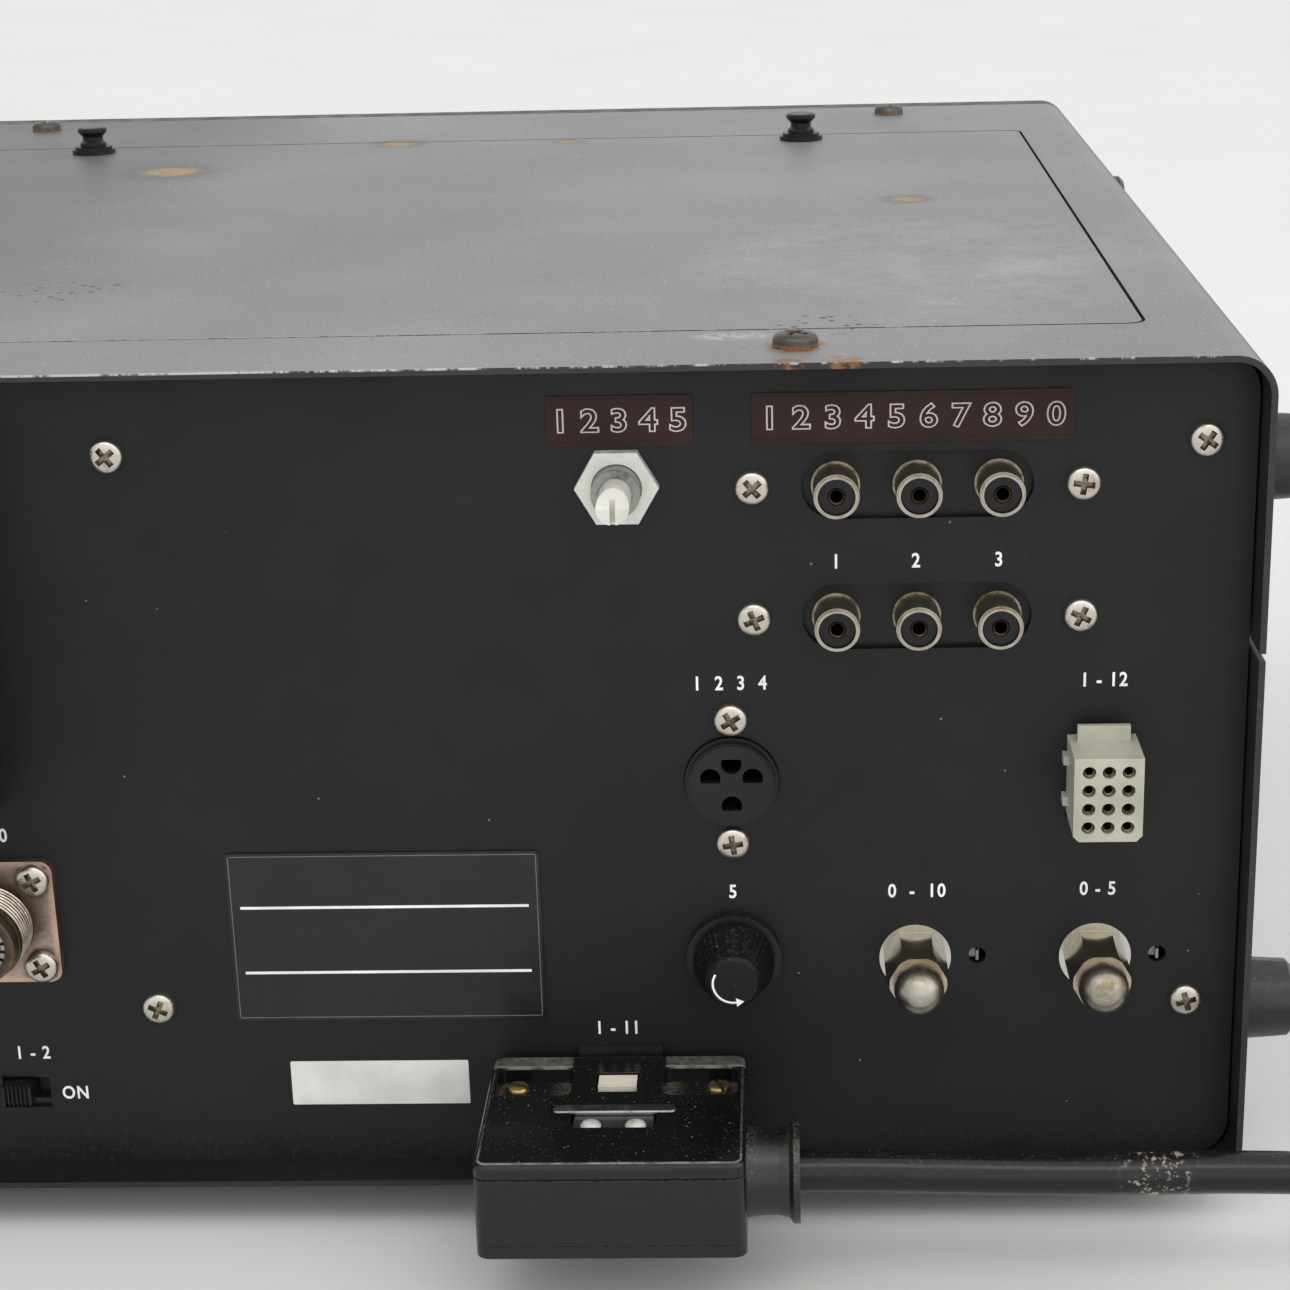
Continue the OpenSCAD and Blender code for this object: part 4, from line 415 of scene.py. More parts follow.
def cover_paint():
    """Black sandy paint, dulled by dust on top, with rust spots, specks, rubbed edges and painted shade
    towards its bottom.
    """
    p = Paint("cover_paint")
    sand = p.noise(2600.0, 2.0, 0.6)
    drop = p.math("SUBTRACT", TOP_Z, p.z)
    facing_up = p.span(p.upward, 0.6, 0.98)
    up = p.times(facing_up, p.span(drop, 0.006, 0.003))
    cloud = p.span(p.noise(14.0, 5.0, 0.6), 0.3, 0.7)
    tone = p.mix(cloud, (0.012, 0.0124, 0.0124), (0.021, 0.0215, 0.0215))
    tone = p.mix(p.times(p.dust(), 0.5), tone, (0.30, 0.27, 0.21))
    haze = p.span(p.noise(9.0, 6.0, 0.62), 0.25, 0.8, 0.55, 0.85)
    patch = p.spot((-0.122, 0.082, TOP_Z), 0.058, 0.06, (1.0, 0.75, 1.0))
    patch = p.times(patch, p.span(p.noise(60.0, 8.0, 0.8), 0.36, 0.66))
    thin = p.span(p.x, 0.030, 0.085, 0.0, 0.24)
    veil = p.math("SUBTRACT", p.plus(haze, p.times(patch, 0.25)), thin)
    veil = p.times(up, veil, p.span(p.noise(1500.0, 4.0, 0.75), 0.3, 0.7, 0.86, 1.06))
    tone = p.mix(veil, tone, (0.288, 0.288, 0.284))
    # Painted shade: the paint turns darker towards the bottom edge.
    tone = p.mix(p.span(p.z, BASE_Z + 0.02, BASE_Z + 0.01, 0.0, 0.6), tone, grey(0.004))
    chips = p.times(up, p.span(p.cells(330.0), 0.27, 0.18))
    where = p.span(p.noise(11.0), 0.62, 0.74, 0.0, 0.4)
    for centre, radius in (((0.056, 0.102, TOP_Z), 0.016), ((-0.100, 0.1475, TOP_Z), 0.013)):
        where = p.most(where, p.spot(centre, radius, radius))
    tone = p.mix(p.times(chips, where), tone, (0.012, 0.012, 0.011))
    crumbs = p.times(up, p.span(p.cells(260.0), 0.09, 0.05))
    tone = p.mix(p.times(crumbs, 0.75), tone, (0.50, 0.49, 0.46))
    spots = (((0.069, -0.063, TOP_Z), 0.0100), ((0.0143, -0.1086, TOP_Z), 0.0062),
             ((-0.1232, 0.0043, TOP_Z), 0.0050), ((-0.034, -0.106, TOP_Z), 0.0036))
    brown = p.mix(p.noise(520.0, 5.0), (0.10, 0.045, 0.018), (0.46, 0.32, 0.16))
    for centre, radius in spots:
        ring = p.spot(centre, radius * 1.8, radius)
        tone = p.mix(p.times(ring, up, 0.45), tone, (0.055, 0.048, 0.038))
        tone = p.mix(p.times(p.spot(centre, radius, radius * 0.9), up), tone, brown)
    bare = p.spot((-0.0835, 0.1585, TOP_Z), 0.0080, 0.008, (0.8, 2.0, 1.0))
    bare = p.times(bare, up, p.span(p.noise(420.0, 5.0, 0.7), 0.42, 0.55), 0.8)
    tone = p.mix(bare, tone, (0.40, 0.385, 0.34))
    rust = p.span(p.away((-REAR_SCREW.x, REAR_SCREW.y, TOP_Z), (1.0, 1.0, 0.0)), 0.0068, 0.0046)
    for centre, radius in (((-0.1035, 0.1800, TOP_Z), 0.0046), ((-0.0935, 0.1808, TOP_Z), 0.0034),
                           ((-0.0865, 0.1690, TOP_Z), 0.0022)):
        rust = p.most(rust, p.spot(centre, radius, radius))
    rust = p.times(rust, p.span(drop, 0.004, 0.002), p.span(p.noise(520.0, 5.0), 0.40, 0.54))
    tone = p.mix(rust, tone, p.mix(p.noise(700.0, 4.0), (0.10, 0.035, 0.014), (0.34, 0.15, 0.05)))
    flakes = p.noise(300.0, 6.0, 0.75, p.scaled((1.0, 0.3, 0.3)))
    broken = p.span(p.plus(flakes, p.span(p.x, -0.16, 0.06, -0.06, 0.10)), 0.46, 0.60)
    rear = p.times(p.span(p.y, COVER_BACK - 0.0005, COVER_BACK - 0.0003), p.span(drop, 0.0004, 0.0002))
    lid = p.times(p.span(p.apart(p.y, LID_REAR), 0.0006, 0.0003), p.span(drop, 0.0006, 0.0003),
                  p.span(p.apart(p.x), 0.1575, 0.1565))
    tone = p.mix(p.times(p.most(rear, p.times(lid, 0.5)), broken), tone, (0.46, 0.46, 0.45))
    border = p.times(p.span(p.y, COVER_BACK - 0.0014, COVER_BACK - 0.0006),
                     p.span(p.noise(800.0, 5.0, 0.75), 0.58, 0.70),
                     p.span(p.apart(p.x), 0.165, 0.172, 0.0, 0.7))
    tone = p.mix(border, tone, (0.15, 0.10, 0.055))
    p.set(Base_Color=tone, Specular_IOR_Level=0.45)
    p.set(Roughness=p.span(sand, 0.3, 0.7, 0.36, 0.52))
    grain = p.bump(sand, 0.22, 0.00018)
    p.set(Normal=p.bump(p.noise(38.0), 0.06, 0.0008, grain))
    return p.material


def panel_paint():
    """Flat black enamel with fine grain, dust along its foot, specks and a few hair scratches."""
    p = Paint("panel_paint")
    cloud = p.noise(16.0, 5.0, 0.6)
    tone = p.mix(p.span(cloud, 0.3, 0.7), (0.0054, 0.0057, 0.0063), (0.0082, 0.0086, 0.0093))
    foot = p.span(p.z, BASE_Z + 0.012, BASE_Z + 0.004)
    powder = p.span(p.noise(900.0, 5.0, 0.75), 0.5, 0.8)
    tone = p.mix(p.times(foot, powder, 0.25), tone, (0.16, 0.14, 0.10))
    specks = p.span(p.cells(105.0), 0.030, 0.014)
    tone = p.mix(p.times(specks, 0.5), tone, (0.35, 0.34, 0.31))
    lines = p.noise(40.0, 2.0, 0.5, p.scaled((1.0, 1.0, 40.0)))
    scratch = p.times(p.span(lines, 0.72, 0.76), p.span(p.noise(22.0, 2.0), 0.62, 0.70))
    tone = p.mix(p.times(scratch, 0.25), tone, grey(0.12))
    p.set(Base_Color=tone, Specular_IOR_Level=0.30)
    p.set(Roughness=p.drift(60.0, 5.0, 0.42, 0.58))
    p.grain(3000.0, 0.12, 0.0001, 2.0)
    return p.material


def glass(name, tint, rough=0.03):
    p = Paint(name)
    p.set(Base_Color=tint, Transmission_Weight=1.0, IOR=1.45)
    p.set(Roughness=p.span(p.noise(120.0, 4.0), 0.4, 0.8, rough, rough + 0.08))
    return p.material


def rusty_steel():
    """Blackened screw steel with rust that creeps up from the foot of each head."""
    p = Paint("rusty_steel")
    dark = p.mix(p.noise(300.0), (0.045, 0.043, 0.041), (0.12, 0.115, 0.11))
    brown = p.mix(p.noise(650.0, 5.0), (0.08, 0.028, 0.010), (0.34, 0.16, 0.055))
    climb = p.span(p.z, TOP_Z + 0.0011, TOP_Z + 0.0002)
    bloom = p.span(p.noise(520.0, 5.0, 0.7), 0.36, 0.58)
    bloom = p.times(bloom, p.plus(p.times(climb, 0.92), 0.05))
    p.set(Base_Color=p.mix(bloom, dark, brown))
    p.set(Metallic=p.span(bloom, 0.0, 0.5, 0.85, 0.0))
    p.set(Roughness=p.span(bloom, 0.0, 0.7, 0.30, 0.85))
    p.grain(1500.0, 0.3, 0.0003, 5.0)
    return p.material


def jack_plating():
    """Brown and dull along each shell, bright at its rim."""
    p = Paint("jack_plating")
    rim = p.span(p.out, 0.0068, 0.0082)
    blotch = p.span(p.noise(420.0, 6.0, 0.68), 0.40, 0.66)
    side = p.mix(blotch, (0.40, 0.36, 0.29), (0.16, 0.12, 0.075))
    end = p.mix(p.times(blotch, 0.5), (0.46, 0.43, 0.37), (0.22, 0.165, 0.10))
    p.set(Base_Color=p.mix(rim, side, end), Metallic=1.0)
    p.set(Roughness=p.plus(p.span(rim, 0.0, 1.0, 0.36, 0.30), p.times(blotch, 0.15)))
    p.grain(1500.0, 0.12, 0.00015)
    return p.material


def nut_plating():
    """Browned domed nuts on bright washers."""
    p = Paint("nut_plating")
    blotch = p.span(p.noise(190.0, 6.0, 0.7), 0.42, 0.72)
    nut = p.mix(blotch, (0.40, 0.375, 0.325), (0.20, 0.155, 0.08))
    nut = p.mix(p.span(p.out, 0.0155, 0.0120, 0.0, 0.6), nut, (0.52, 0.44, 0.32))
    washer = p.mix(p.noise(300.0, 4.0), (0.50, 0.49, 0.45), (0.66, 0.65, 0.61))
    p.set(Base_Color=p.mix(p.span(p.out, 0.0009, 0.0010), washer, nut), Metallic=1.0)
    gloss = p.span(p.out, 0.0120, 0.0132, 0.16, 0.30)
    p.set(Roughness=p.plus(p.times(blotch, 0.10), gloss))
    p.grain(900.0, 0.10, 0.0002, 4.0)
    return p.material


def board_paint():
    """Green board with tinned tracks, and metal cans above it."""
    p = Paint("board_paint")
    tracks = p.span(p.waves(90.0, "X"), 0.66, 0.72)
    gate = p.span(p.noise(60.0, 1.0), 0.48, 0.52)
    green = p.mix(p.times(tracks, gate), (0.045, 0.10, 0.035), (0.12, 0.22, 0.09))
    can = p.mix(p.noise(200.0), (0.42, 0.42, 0.40), (0.58, 0.58, 0.55))
    above = p.span(p.z, 0.0543, 0.0546)
    p.set(Base_Color=p.mix(above, green, can))
    p.set(Metallic=p.times(above, 0.9))
    p.set(Roughness=p.drift(140.0, 3.0, 0.32, 0.5))
    p.grain(900.0, 0.1, 0.0002)
    return p.material


def laminations():
    """Varnished core plates round a taped winding."""
    p = Paint("laminations")
    plates = p.waves(160.0, "Y")
    core = p.mix(p.span(plates, 0.3, 0.7), (0.030, 0.026, 0.022), (0.085, 0.075, 0.062))
    tape = p.mix(p.span(p.waves(60.0, "Z"), 0.2, 0.9), (0.22, 0.15, 0.045), (0.34, 0.25, 0.09))
    low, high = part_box("mains_transformer")
    depth = p.apart(p.y, (low.y + high.y) / 2)
    p.set(Base_Color=p.mix(p.span(depth, 0.0199, 0.0203), core, tape))
    p.set(Roughness=p.drift(180.0, 3.0, 0.35, 0.6))
    p.set(Normal=p.bump(plates, 0.3, 0.0003))
    return p.material


def satin_plate():
    """Brushed front plate with faint grime."""
    p = Paint("satin_plate")
    lines = p.noise(70.0, 3.0, 0.6, p.scaled((0.6, 30.0, 40.0)))
    tone = p.mix(p.span(lines, 0.3, 0.7), (0.40, 0.40, 0.39), (0.56, 0.56, 0.54))
    grime = p.span(p.noise(26.0, 5.0, 0.65), 0.5, 0.8)
    p.set(Base_Color=p.mix(p.times(grime, 0.35), tone, (0.22, 0.20, 0.17)), Metallic=0.9)
    p.set(Roughness=p.plus(p.times(lines, 0.2), 0.28))
    p.set(Normal=p.bump(lines, 0.08, 0.0001))
    return p.material


NICKEL = metal("nickel", (0.60, 0.56, 0.49), (0.30, 0.22, 0.14), 0.28, 0.25)
ZINC = metal("zinc", (0.66, 0.66, 0.60), (0.72, 0.72, 0.66), 0.45, 0.75, 330.0, 0.45)
COPPERED = flange_plating()
THREAD = thread_plating()
BRASS = metal("brass", (0.66, 0.48, 0.21), (0.22, 0.13, 0.05), 0.3, 0.4)
POT_METAL = metal("pot_metal", (0.34, 0.34, 0.325), (0.20, 0.195, 0.18), 0.42, 0.5)
STEEL = metal("steel", (0.56, 0.56, 0.53), (0.42, 0.37, 0.27), 0.38, 0.4, 60.0)
SPRING = metal("spring_steel", (0.30, 0.30, 0.31), (0.18, 0.155, 0.12), 0.30, 0.4, 240.0)
CONTACT = metal("contact", (0.24, 0.185, 0.12), (0.09, 0.062, 0.04), 0.4, 0.6)
JACK_CUP = metal("jack_cup", (0.085, 0.060, 0.035), (0.03, 0.02, 0.012), 0.4, 0.6)
GRIME = metal("grime", (0.30, 0.25, 0.19), (0.06, 0.045, 0.03), 0.42, 0.6, 900.0)
HOOD = hood_plastic()
RUSTY = rusty_steel()
FRAME_PAINT = moulded("frame_paint", (0.024, 0.024, 0.026), 0.42, 0.3, 2400.0, 0.2)
BLACK = moulded("black_plastic", grey(0.0075), 0.30, 0.3, shine=0.32)
FUSE = moulded("fuse_plastic", grey(0.0060), 0.34, 0.9, shine=0.22)
CORE = moulded("core_plastic", (0.0065, 0.0062, 0.0060), 0.36, 0.1, shine=0.3)
RUBBER = moulded("rubber", grey(0.013), 0.36, 0.5, 1300.0, 0.15)
SHEATH = sheath_plastic()
VINYL = moulded("vinyl", grey(0.018), 0.45, 0.2, 1100.0, 0.5)
CREAM = moulded("cream_nylon", (0.43, 0.42, 0.345), 0.38, 0.15, 700.0, 0.06, depth=0.002)
SHAFT = moulded("shaft_nylon", (0.63, 0.62, 0.56), 0.36, 0.1, depth=0.001)
PHENOLIC = moulded("phenolic", (0.009, 0.007, 0.005), 0.40, 0.6)
SWITCH = moulded("switch_body", (0.014, 0.011, 0.009), 0.5, 0.3)
PALE = moulded("pale_latch", (0.80, 0.72, 0.61), 0.22, 0.05)
KNOB = moulded("knob_plastic", (0.012, 0.012, 0.013), 0.3, 0.3)
GREY_KEY = moulded("grey_key", (0.52, 0.52, 0.49), 0.35, 0.2)
CARD = moulded("scale_card", (0.74, 0.73, 0.66), 0.6)
WHITE = moulded("white_ink", (0.84, 0.83, 0.80), 0.55)
INK = moulded("black_ink", grey(0.018), 0.5)
RED = moulded("red_ink", (0.45, 0.03, 0.025), 0.5)
INSULATOR = moulded("insulator", (0.060, 0.018, 0.014), 0.4, 0.2)
TAPE = moulded("brown_tape", (0.027, 0.0115, 0.009), 0.38, 0.12, 500.0, 0.10, 0.18)
PALE_TAPE = moulded("pale_tape", (0.50, 0.47, 0.45), 0.4, 0.1)
LABEL = moulded("white_label", (0.65, 0.635, 0.595), 0.5, 0.04)
PLATE_EDGE = moulded("plate_edge", (0.12, 0.12, 0.11), 0.5)
PLATE = moulded("plate_black", (0.0085, 0.0088, 0.009), 0.30, 0.25, shine=0.4)
PANE = glass("pane", (0.93, 0.96, 0.95))
BULB = glass("bulb", (0.80, 0.86, 0.86), 0.05)

CAD_MATERIALS = (
    (STEEL, "chassis output_cage vfo_box"), (panel_paint(), "rear_panel"),
    (cover_paint(), "top_cover bottom_cover top_lid"), (FRAME_PAINT, "front_frame"),
    (satin_plate(), "front_panel"),
    (BLACK, "latch_bases lid_latch_left lid_latch_right accessory_socket fuse_holder "
     "slide_knob fan_frame fan_rotor coil_tie mains_plug meter_needle"),
    (RUBBER, "rubber_feet"), (VINYL, "handle_strap"), (NICKEL, "handle_caps panel_screws mic_socket"),
    (RUSTY, "cover_screws"), (CORE, "jack_strips"), (jack_plating(), "jack_shells"),
    (POT_METAL, "speed_pot adjust_pots"), (ZINC, "speed_nut"), (SHAFT, "speed_shaft"),
    (FUSE, "fuse_cap"), (PANE, "fuse_link lenses"), (CREAM, "remote_connector"),
    (nut_plating(), "cap_nuts"), (BRASS, "left_adjuster right_adjuster plug_screws"),
    (COPPERED, "antenna_socket"), (SWITCH, "slide_switch"), (PHENOLIC, "power_socket"),
    (HOOD, "plug_hood plug_base"), (PALE, "plug_latch"), (bush_rubber(), "cord_bush"),
    (SHEATH, "mains_cord cord_coil"),
    (KNOB, "tuning_knob band_knob mode_knob preselector_knob gain_knob"),
    (CARD, "dial_disc meter_case"), (GREY_KEY, "power_button"), (BULB, "output_tubes"),
    (laminations(), "mains_transformer"), (board_paint(), "signal_board"),
)

# Solids that get a small soft edge: width in metres
SOFT_EDGES = {
    "plug_hood": 0.0003, "plug_base": 0.0005, "plug_latch": 0.0004, "remote_connector": 0.00025,
    "antenna_socket": 0.0003, "speed_nut": 0.0003, "slide_knob": 0.0002, "mains_plug": 0.0010,
    "power_button": 0.0005, "handle_strap": 0.0012, "handle_caps": 0.0010, "front_frame": 0.0008,
    "fan_frame": 0.0005, "mains_transformer": 0.0010, "top_lid": 0.00025,
}

for material, names in CAD_MATERIALS:
    for name in names.split():
        slots = nodes[name].data.materials
        slots.clear()
        slots.append(material)


def soften(thing, width, angle):
    """Rounds the edges that are sharper than the angle in degrees."""
    soft = thing.modifiers.new("soft_edge", "BEVEL")
    soft.width = width
    soft.segments = 2
    soft.limit_method = "ANGLE"
    soft.angle_limit = math.radians(angle)


for name, width in SOFT_EDGES.items():
    soften(nodes[name], width, 18.0 if name == "plug_hood" else 40.0)


# Making pieces

def to_mesh(name, bm):
    """A new mesh from a bmesh, which is freed."""
    mesh = bpy.data.meshes.new(name)
    bm.to_mesh(mesh)
    bm.free()
    return mesh


def face_out(bm):
    bmesh.ops.recalc_face_normals(bm, faces=bm.faces)


def piece(name, bm, material, body="set", smooth=None):
    """A mesh piece from a bmesh that rides on a body; edges below the angle smooth shade smooth."""
    mesh = to_mesh(name, bm)
    mesh.materials.append(material)
    thing = new_object(name, mesh)
    if smooth is not None:
        for face in mesh.polygons:
            face.use_smooth = True
        mesh.set_sharp_from_angle(angle=math.radians(smooth))
    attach(thing, body)
    return thing


def polar(radius, angle, height):
    return Vector((radius * math.cos(angle), radius * math.sin(angle), height))


def rear_place(s, h, out=0.0):
    """Frame on the rear panel, from millimetres: x to the right hand, y up, z out of the panel."""
    turn = Matrix(((-1, 0, 0), (0, 0, 1), (0, 1, 0))).to_4x4()
    return Matrix.Translation((RIGHT_X + s / 1000, REAR_Y + out / 1000, BASE_Z + h / 1000)) @ turn


def front_place(x, h, out=0.0):
    """The same on the front panel, with x from its middle."""
    turn = Matrix(((1, 0, 0), (0, 0, -1), (0, 1, 0))).to_4x4()
    return Matrix.Translation((x / 1000, FRONT_Y - out / 1000, BASE_Z + h / 1000)) @ turn


def add_rings(bm, rings):
    """Faces between rings of points, and both ends."""
    for low, high in zip(rings, rings[1:]):
        for k in range(len(low)):
            n = (k + 1) % len(low)
            bm.faces.new((low[k], low[n], high[n], high[k]))
    bm.faces.new(list(reversed(rings[0])))
    bm.faces.new(rings[-1])


def add_revolved(bm, profile, place, steps=32):
    """Turns (radius, height) points in millimetres about z and adds the surface at place."""
    rings = []
    for radius, height in profile:
        ring = []
        for k in range(steps):
            at = polar(radius, 2 * math.pi * k / steps, height) / 1000
            ring.append(bm.verts.new(place @ at))
        rings.append(ring)
    add_rings(bm, rings)


def add_slab(bm, x0, y0, x1, y1, z0, z1, place, radius=0.0, corner=3):
    """Flat slab in millimetres; a radius rounds each corner, in as many facets as corner says."""
    outline = []
    if radius:
        corners = ((x1 - radius, y1 - radius, 0), (x0 + radius, y1 - radius, 90),
                   (x0 + radius, y0 + radius, 180), (x1 - radius, y0 + radius, 270))
        for cx, cy, start in corners:
            for k in range(corner + 1):
                a = math.radians(start + 90 * k / corner)
                outline.append((cx + radius * math.cos(a), cy + radius * math.sin(a)))
    else:
        outline = [(x1, y1), (x0, y1), (x0, y0), (x1, y0)]
    low = [bm.verts.new(place @ (Vector((x, y, z0)) / 1000)) for x, y in outline]
    high = [bm.verts.new(place @ (Vector((x, y, z1)) / 1000)) for x, y in outline]
    add_rings(bm, (low, high))


def frozen(thing):
    """A new mesh of the object with its modifiers applied."""
    bpy.context.view_layer.update()
    ready = thing.evaluated_get(bpy.context.evaluated_depsgraph_get())
    return bpy.data.meshes.new_from_object(ready)


def add_text(bm, body, size, place, depth=0.04, weight=0.0, spread=1.0, wide=1.0, wire=0.0):
    """Adds lettering of that size in millimetres, centred at place; wire draws its outline only."""
    curve = bpy.data.curves.new("lettering", "FONT")
    curve.body = body
    curve.size = size
    curve.align_x = "CENTER"
    curve.align_y = "CENTER"
    curve.extrude = 0.0 if wire else depth
    curve.bevel_depth = wire
    curve.fill_mode = "NONE" if wire else "BOTH"
    curve.offset = weight
    curve.space_character = spread
    curve.resolution_u = 4
    thing = new_object("lettering", curve)
    shape = frozen(thing)
    bpy.data.objects.remove(thing)
    bpy.data.curves.remove(curve)
    shrink = Matrix.Diagonal((wide / 1000, 1 / 1000, 1 / 1000, 1))
    shape.transform(place @ shrink)
    bm.from_mesh(shape)
    bpy.data.meshes.remove(shape)


def cut(mesh_bm, cutter_bm):
    """The first shape less the second, as a new bmesh."""
    things = []
    for source in (mesh_bm, cutter_bm):
        face_out(source)
        things.append(new_object("cutting", to_mesh("cutting", source)))
    knife = things[0].modifiers.new("cut", "BOOLEAN")
    knife.operation = "DIFFERENCE"
    knife.solver = "EXACT"
    knife.object = things[1]
    result = frozen(things[0])
    bm = bmesh.new()
    bm.from_mesh(result)
    for thing in things:
        mesh = thing.data
        bpy.data.objects.remove(thing)
        bpy.data.meshes.remove(mesh)
    bpy.data.meshes.remove(result)
    return bm


# Lead

def smooth_path(points, steps):
    """Points on a curve through the given ones."""
    path = []
    for i in range(len(points) - 1):
        a = points[max(i - 1, 0)]
        b = points[i]
        c = points[i + 1]
        d = points[min(i + 2, len(points) - 1)]
        for k in range(steps):
            t = k / steps
            path.append(0.5 * (2 * b + (c - a) * t + (2 * a - 5 * b + 4 * c - d) * t ** 2
                               + (3 * b - a - 3 * c + d) * t ** 3))
    path.append(points[-1])
    return path


CORD_D = 8.0
CORD_START = Vector((-93.9, 204.35, 25.6))
COIL_LOW = 5.1
COIL_R = 58.0
TURNS = 5.25
TURN_PITCH = 8.8
LEAD_OUT = 46.0


def lead_points():
    drop = COIL_LOW - CORD_START.z
    steps = [(0, 0), (-10, 0), (-26, -0.4), (-44, -0.9), (-62, -1), (-80, -0.8), (-98, -1.5), (-114, -4.5),
             (-130, -9.5), (-146, -14.5), (-162, -18.5), (-176, drop), (-188, drop)]
    points = [CORD_START + Vector((x, 0, z)) for x, z in steps]
    path = smooth_path(points, 4)
    centre = Vector((points[-1].x - CORD_D, points[-1].y - COIL_R, 0))
    half = TURNS / 2
    count = round(TURNS * 48)
    for i in range(count + 1):
        t = TURNS * i / count
        radius = COIL_R - TURN_PITCH * (half - abs(half - t))
        rise = min(1.0, max(0.0, (t - half + 0.25) * 2))
        level = COIL_LOW + TURN_PITCH * rise * rise * (3 - 2 * rise)
        a = math.radians(90 + 360 * t)
        path.append(Vector((centre.x + radius * math.cos(a), centre.y + radius * math.sin(a), level)))
    end = path[-1]
    for k in (1, 2, 3):
        path.append(end - Vector((0, LEAD_OUT * k / 3, 0)))
    return [p / 1000 for p in path]


def make_lead():
    path = lead_points()
    curve = bpy.data.curves.new("mains_lead", "CURVE")
    curve.dimensions = "3D"
    spline = curve.splines.new("POLY")
    spline.points.add(len(path) - 1)
    for point, at in zip(spline.points, path):
        point.co = (*at, 1.0)
    curve.bevel_depth = CORD_D / 2000
    curve.bevel_resolution = 5
    curve.use_fill_caps = True
    curve.materials.append(SHEATH)
    lead = new_object("mains_lead", curve)
    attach(lead, "set")
    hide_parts("mains_cord", "cord_coil")


make_lead()


# Screws

def add_cross(bm, reach, half, low, high, taper):
    """Cross in millimetres that narrows downwards."""
    rings = []
    for z, k in ((low, taper), (high, 1.0)):
        r, w = reach * k, half * k
        outline = [(r, -w), (r, w), (w, w), (w, r), (-w, r), (-w, w),
                   (-r, w), (-r, -w), (-w, -w), (-w, -r), (w, -r), (w, -w)]
        rings.append([bm.verts.new(Vector((x, y, z)) / 1000) for x, y in outline])
    add_rings(bm, rings)


def screw_shape(recess, radius, height, shank):
    """Pan-head screw in millimetres with a cross or a slot, whose faces get the second material."""
    head = bmesh.new()
    dome = [(1.0, 0.0), (1.0, 0.5), (0.96, 0.70), (0.87, 0.86), (0.66, 0.96), (0.35, 1.0), (0.005, 1.0)]
    profile = [(shank, -6.0), (shank, 0.0)] + [(r * radius, z * height) for r, z in dome]
    add_revolved(head, profile, Matrix.Identity(4))
    knife = bmesh.new()
    if recess == "cross":
        add_cross(knife, radius * 0.70, radius * 0.20, height * 0.45, height * 1.3, 0.7)
    else:
        add_slab(knife, -2 * radius, -0.38, 2 * radius, 0.38, height * 0.5, height * 1.3,
                 Matrix.Identity(4))
    head = cut(head, knife)
    for face in head.faces:
        middle = face.calc_center_median() * 1000
        away = math.hypot(middle.x, middle.y)
        if away < 0.9 * radius and 0.05 * height < middle.z < 0.84 * height:
            face.material_index = 1
    return head


def make_screws(name, places, shape, material, replaced):
    template = to_mesh("screw_template", shape)
    bm = bmesh.new()
    dice = random.Random(name)
    for place in places:
        copy = template.copy()
        copy.transform(place @ Matrix.Rotation(dice.uniform(0, math.pi), 4, "Z"))
        bm.from_mesh(copy)
        bpy.data.meshes.remove(copy)
    bpy.data.meshes.remove(template)
    thing = piece(name, bm, material, smooth=35)
    thing.data.materials.append(GRIME)
    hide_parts(replaced)


panel_places = [rear_place(s, h) for s in PANEL_SCREW_S for h in PANEL_SCREW_H]
panel_places += [rear_place(JACK_S + d * JACK_SCREW, h) for d in (-1, 1) for h in JACK_ROWS]
panel_places += [rear_place(SOCKET_S, SOCKET_H + d * SOCKET_SCREW) for d in (-1, 1)]
for s, h, hole, out in ((AERIAL_S, AERIAL_H, AERIAL_HOLE, FLANGE), (FAN_S, FAN_H, FAN_HOLE, FAN_DEPTH)):
    panel_places += [rear_place(s + i * hole, h + j * hole, out) for i, j in CORNERS]
panel_screw = screw_shape("cross", radius=3.2, height=2.0, shank=1.5)
make_screws("panel_screw_heads", panel_places, panel_screw, NICKEL, "panel_screws")

cover_places = []
for x, y in (REAR_SCREW, FRONT_SCREW):
    for d in (-1, 1):
        cover_places.append(Matrix.Translation((d * x, y, TOP_Z)))
        cover_places.append(Matrix.Translation((d * x, y, BASE_Z)) @ Matrix.Rotation(math.pi, 4, "X"))
cover_screw = screw_shape("cross", radius=4.2, height=2.6, shank=2.0)
make_screws("cover_screw_heads", cover_places, cover_screw, RUSTY, "cover_screws")

plug_places = []
for d in (-1, 1):
    at = (PLUG_X + d * PLUG_SCREW.x, REAR_Y + PLUG_SCREW.y, PLUG_TOP - PLUG_SCREW.z)
    plug_places.append(Matrix.Translation(at))
plug_screw = screw_shape("slot", radius=2.3, height=2.3, shank=1.5)
make_screws("plug_screw_heads", plug_places, plug_screw, BRASS, "plug_screws")


# Marks on the rear panel: plain numbers, bare plates and tapes

def make_legends():
    marks = (
        ("1", 78.0, 124.6), ("2", 63.3, 124.6), ("3", 48.1, 124.6), ("1  2  3  4", 98.0, 101.1),
        ("1 - 12", 28.2, 100.9), ("5", 98.2, 58.6), ("0  -  10", 62.9, 58.4), ("0 - 5", 28.3, 58.5),
        ("1 - 11", 121.3, 29.8), ("ON", 229.8, 16.5), ("OFF", 249.5, 16.5), ("5 0", 240.0, 71.9),
        ("1 - 2", 237.5, 25.4),
    )
    bm = bmesh.new()
    for body, s, h in marks:
        add_text(bm, body, 3.85, rear_place(s, h, 0.05), 0.03, weight=0.075, spread=1.14, wide=0.84)
    piece("panel_numbers", bm, WHITE)


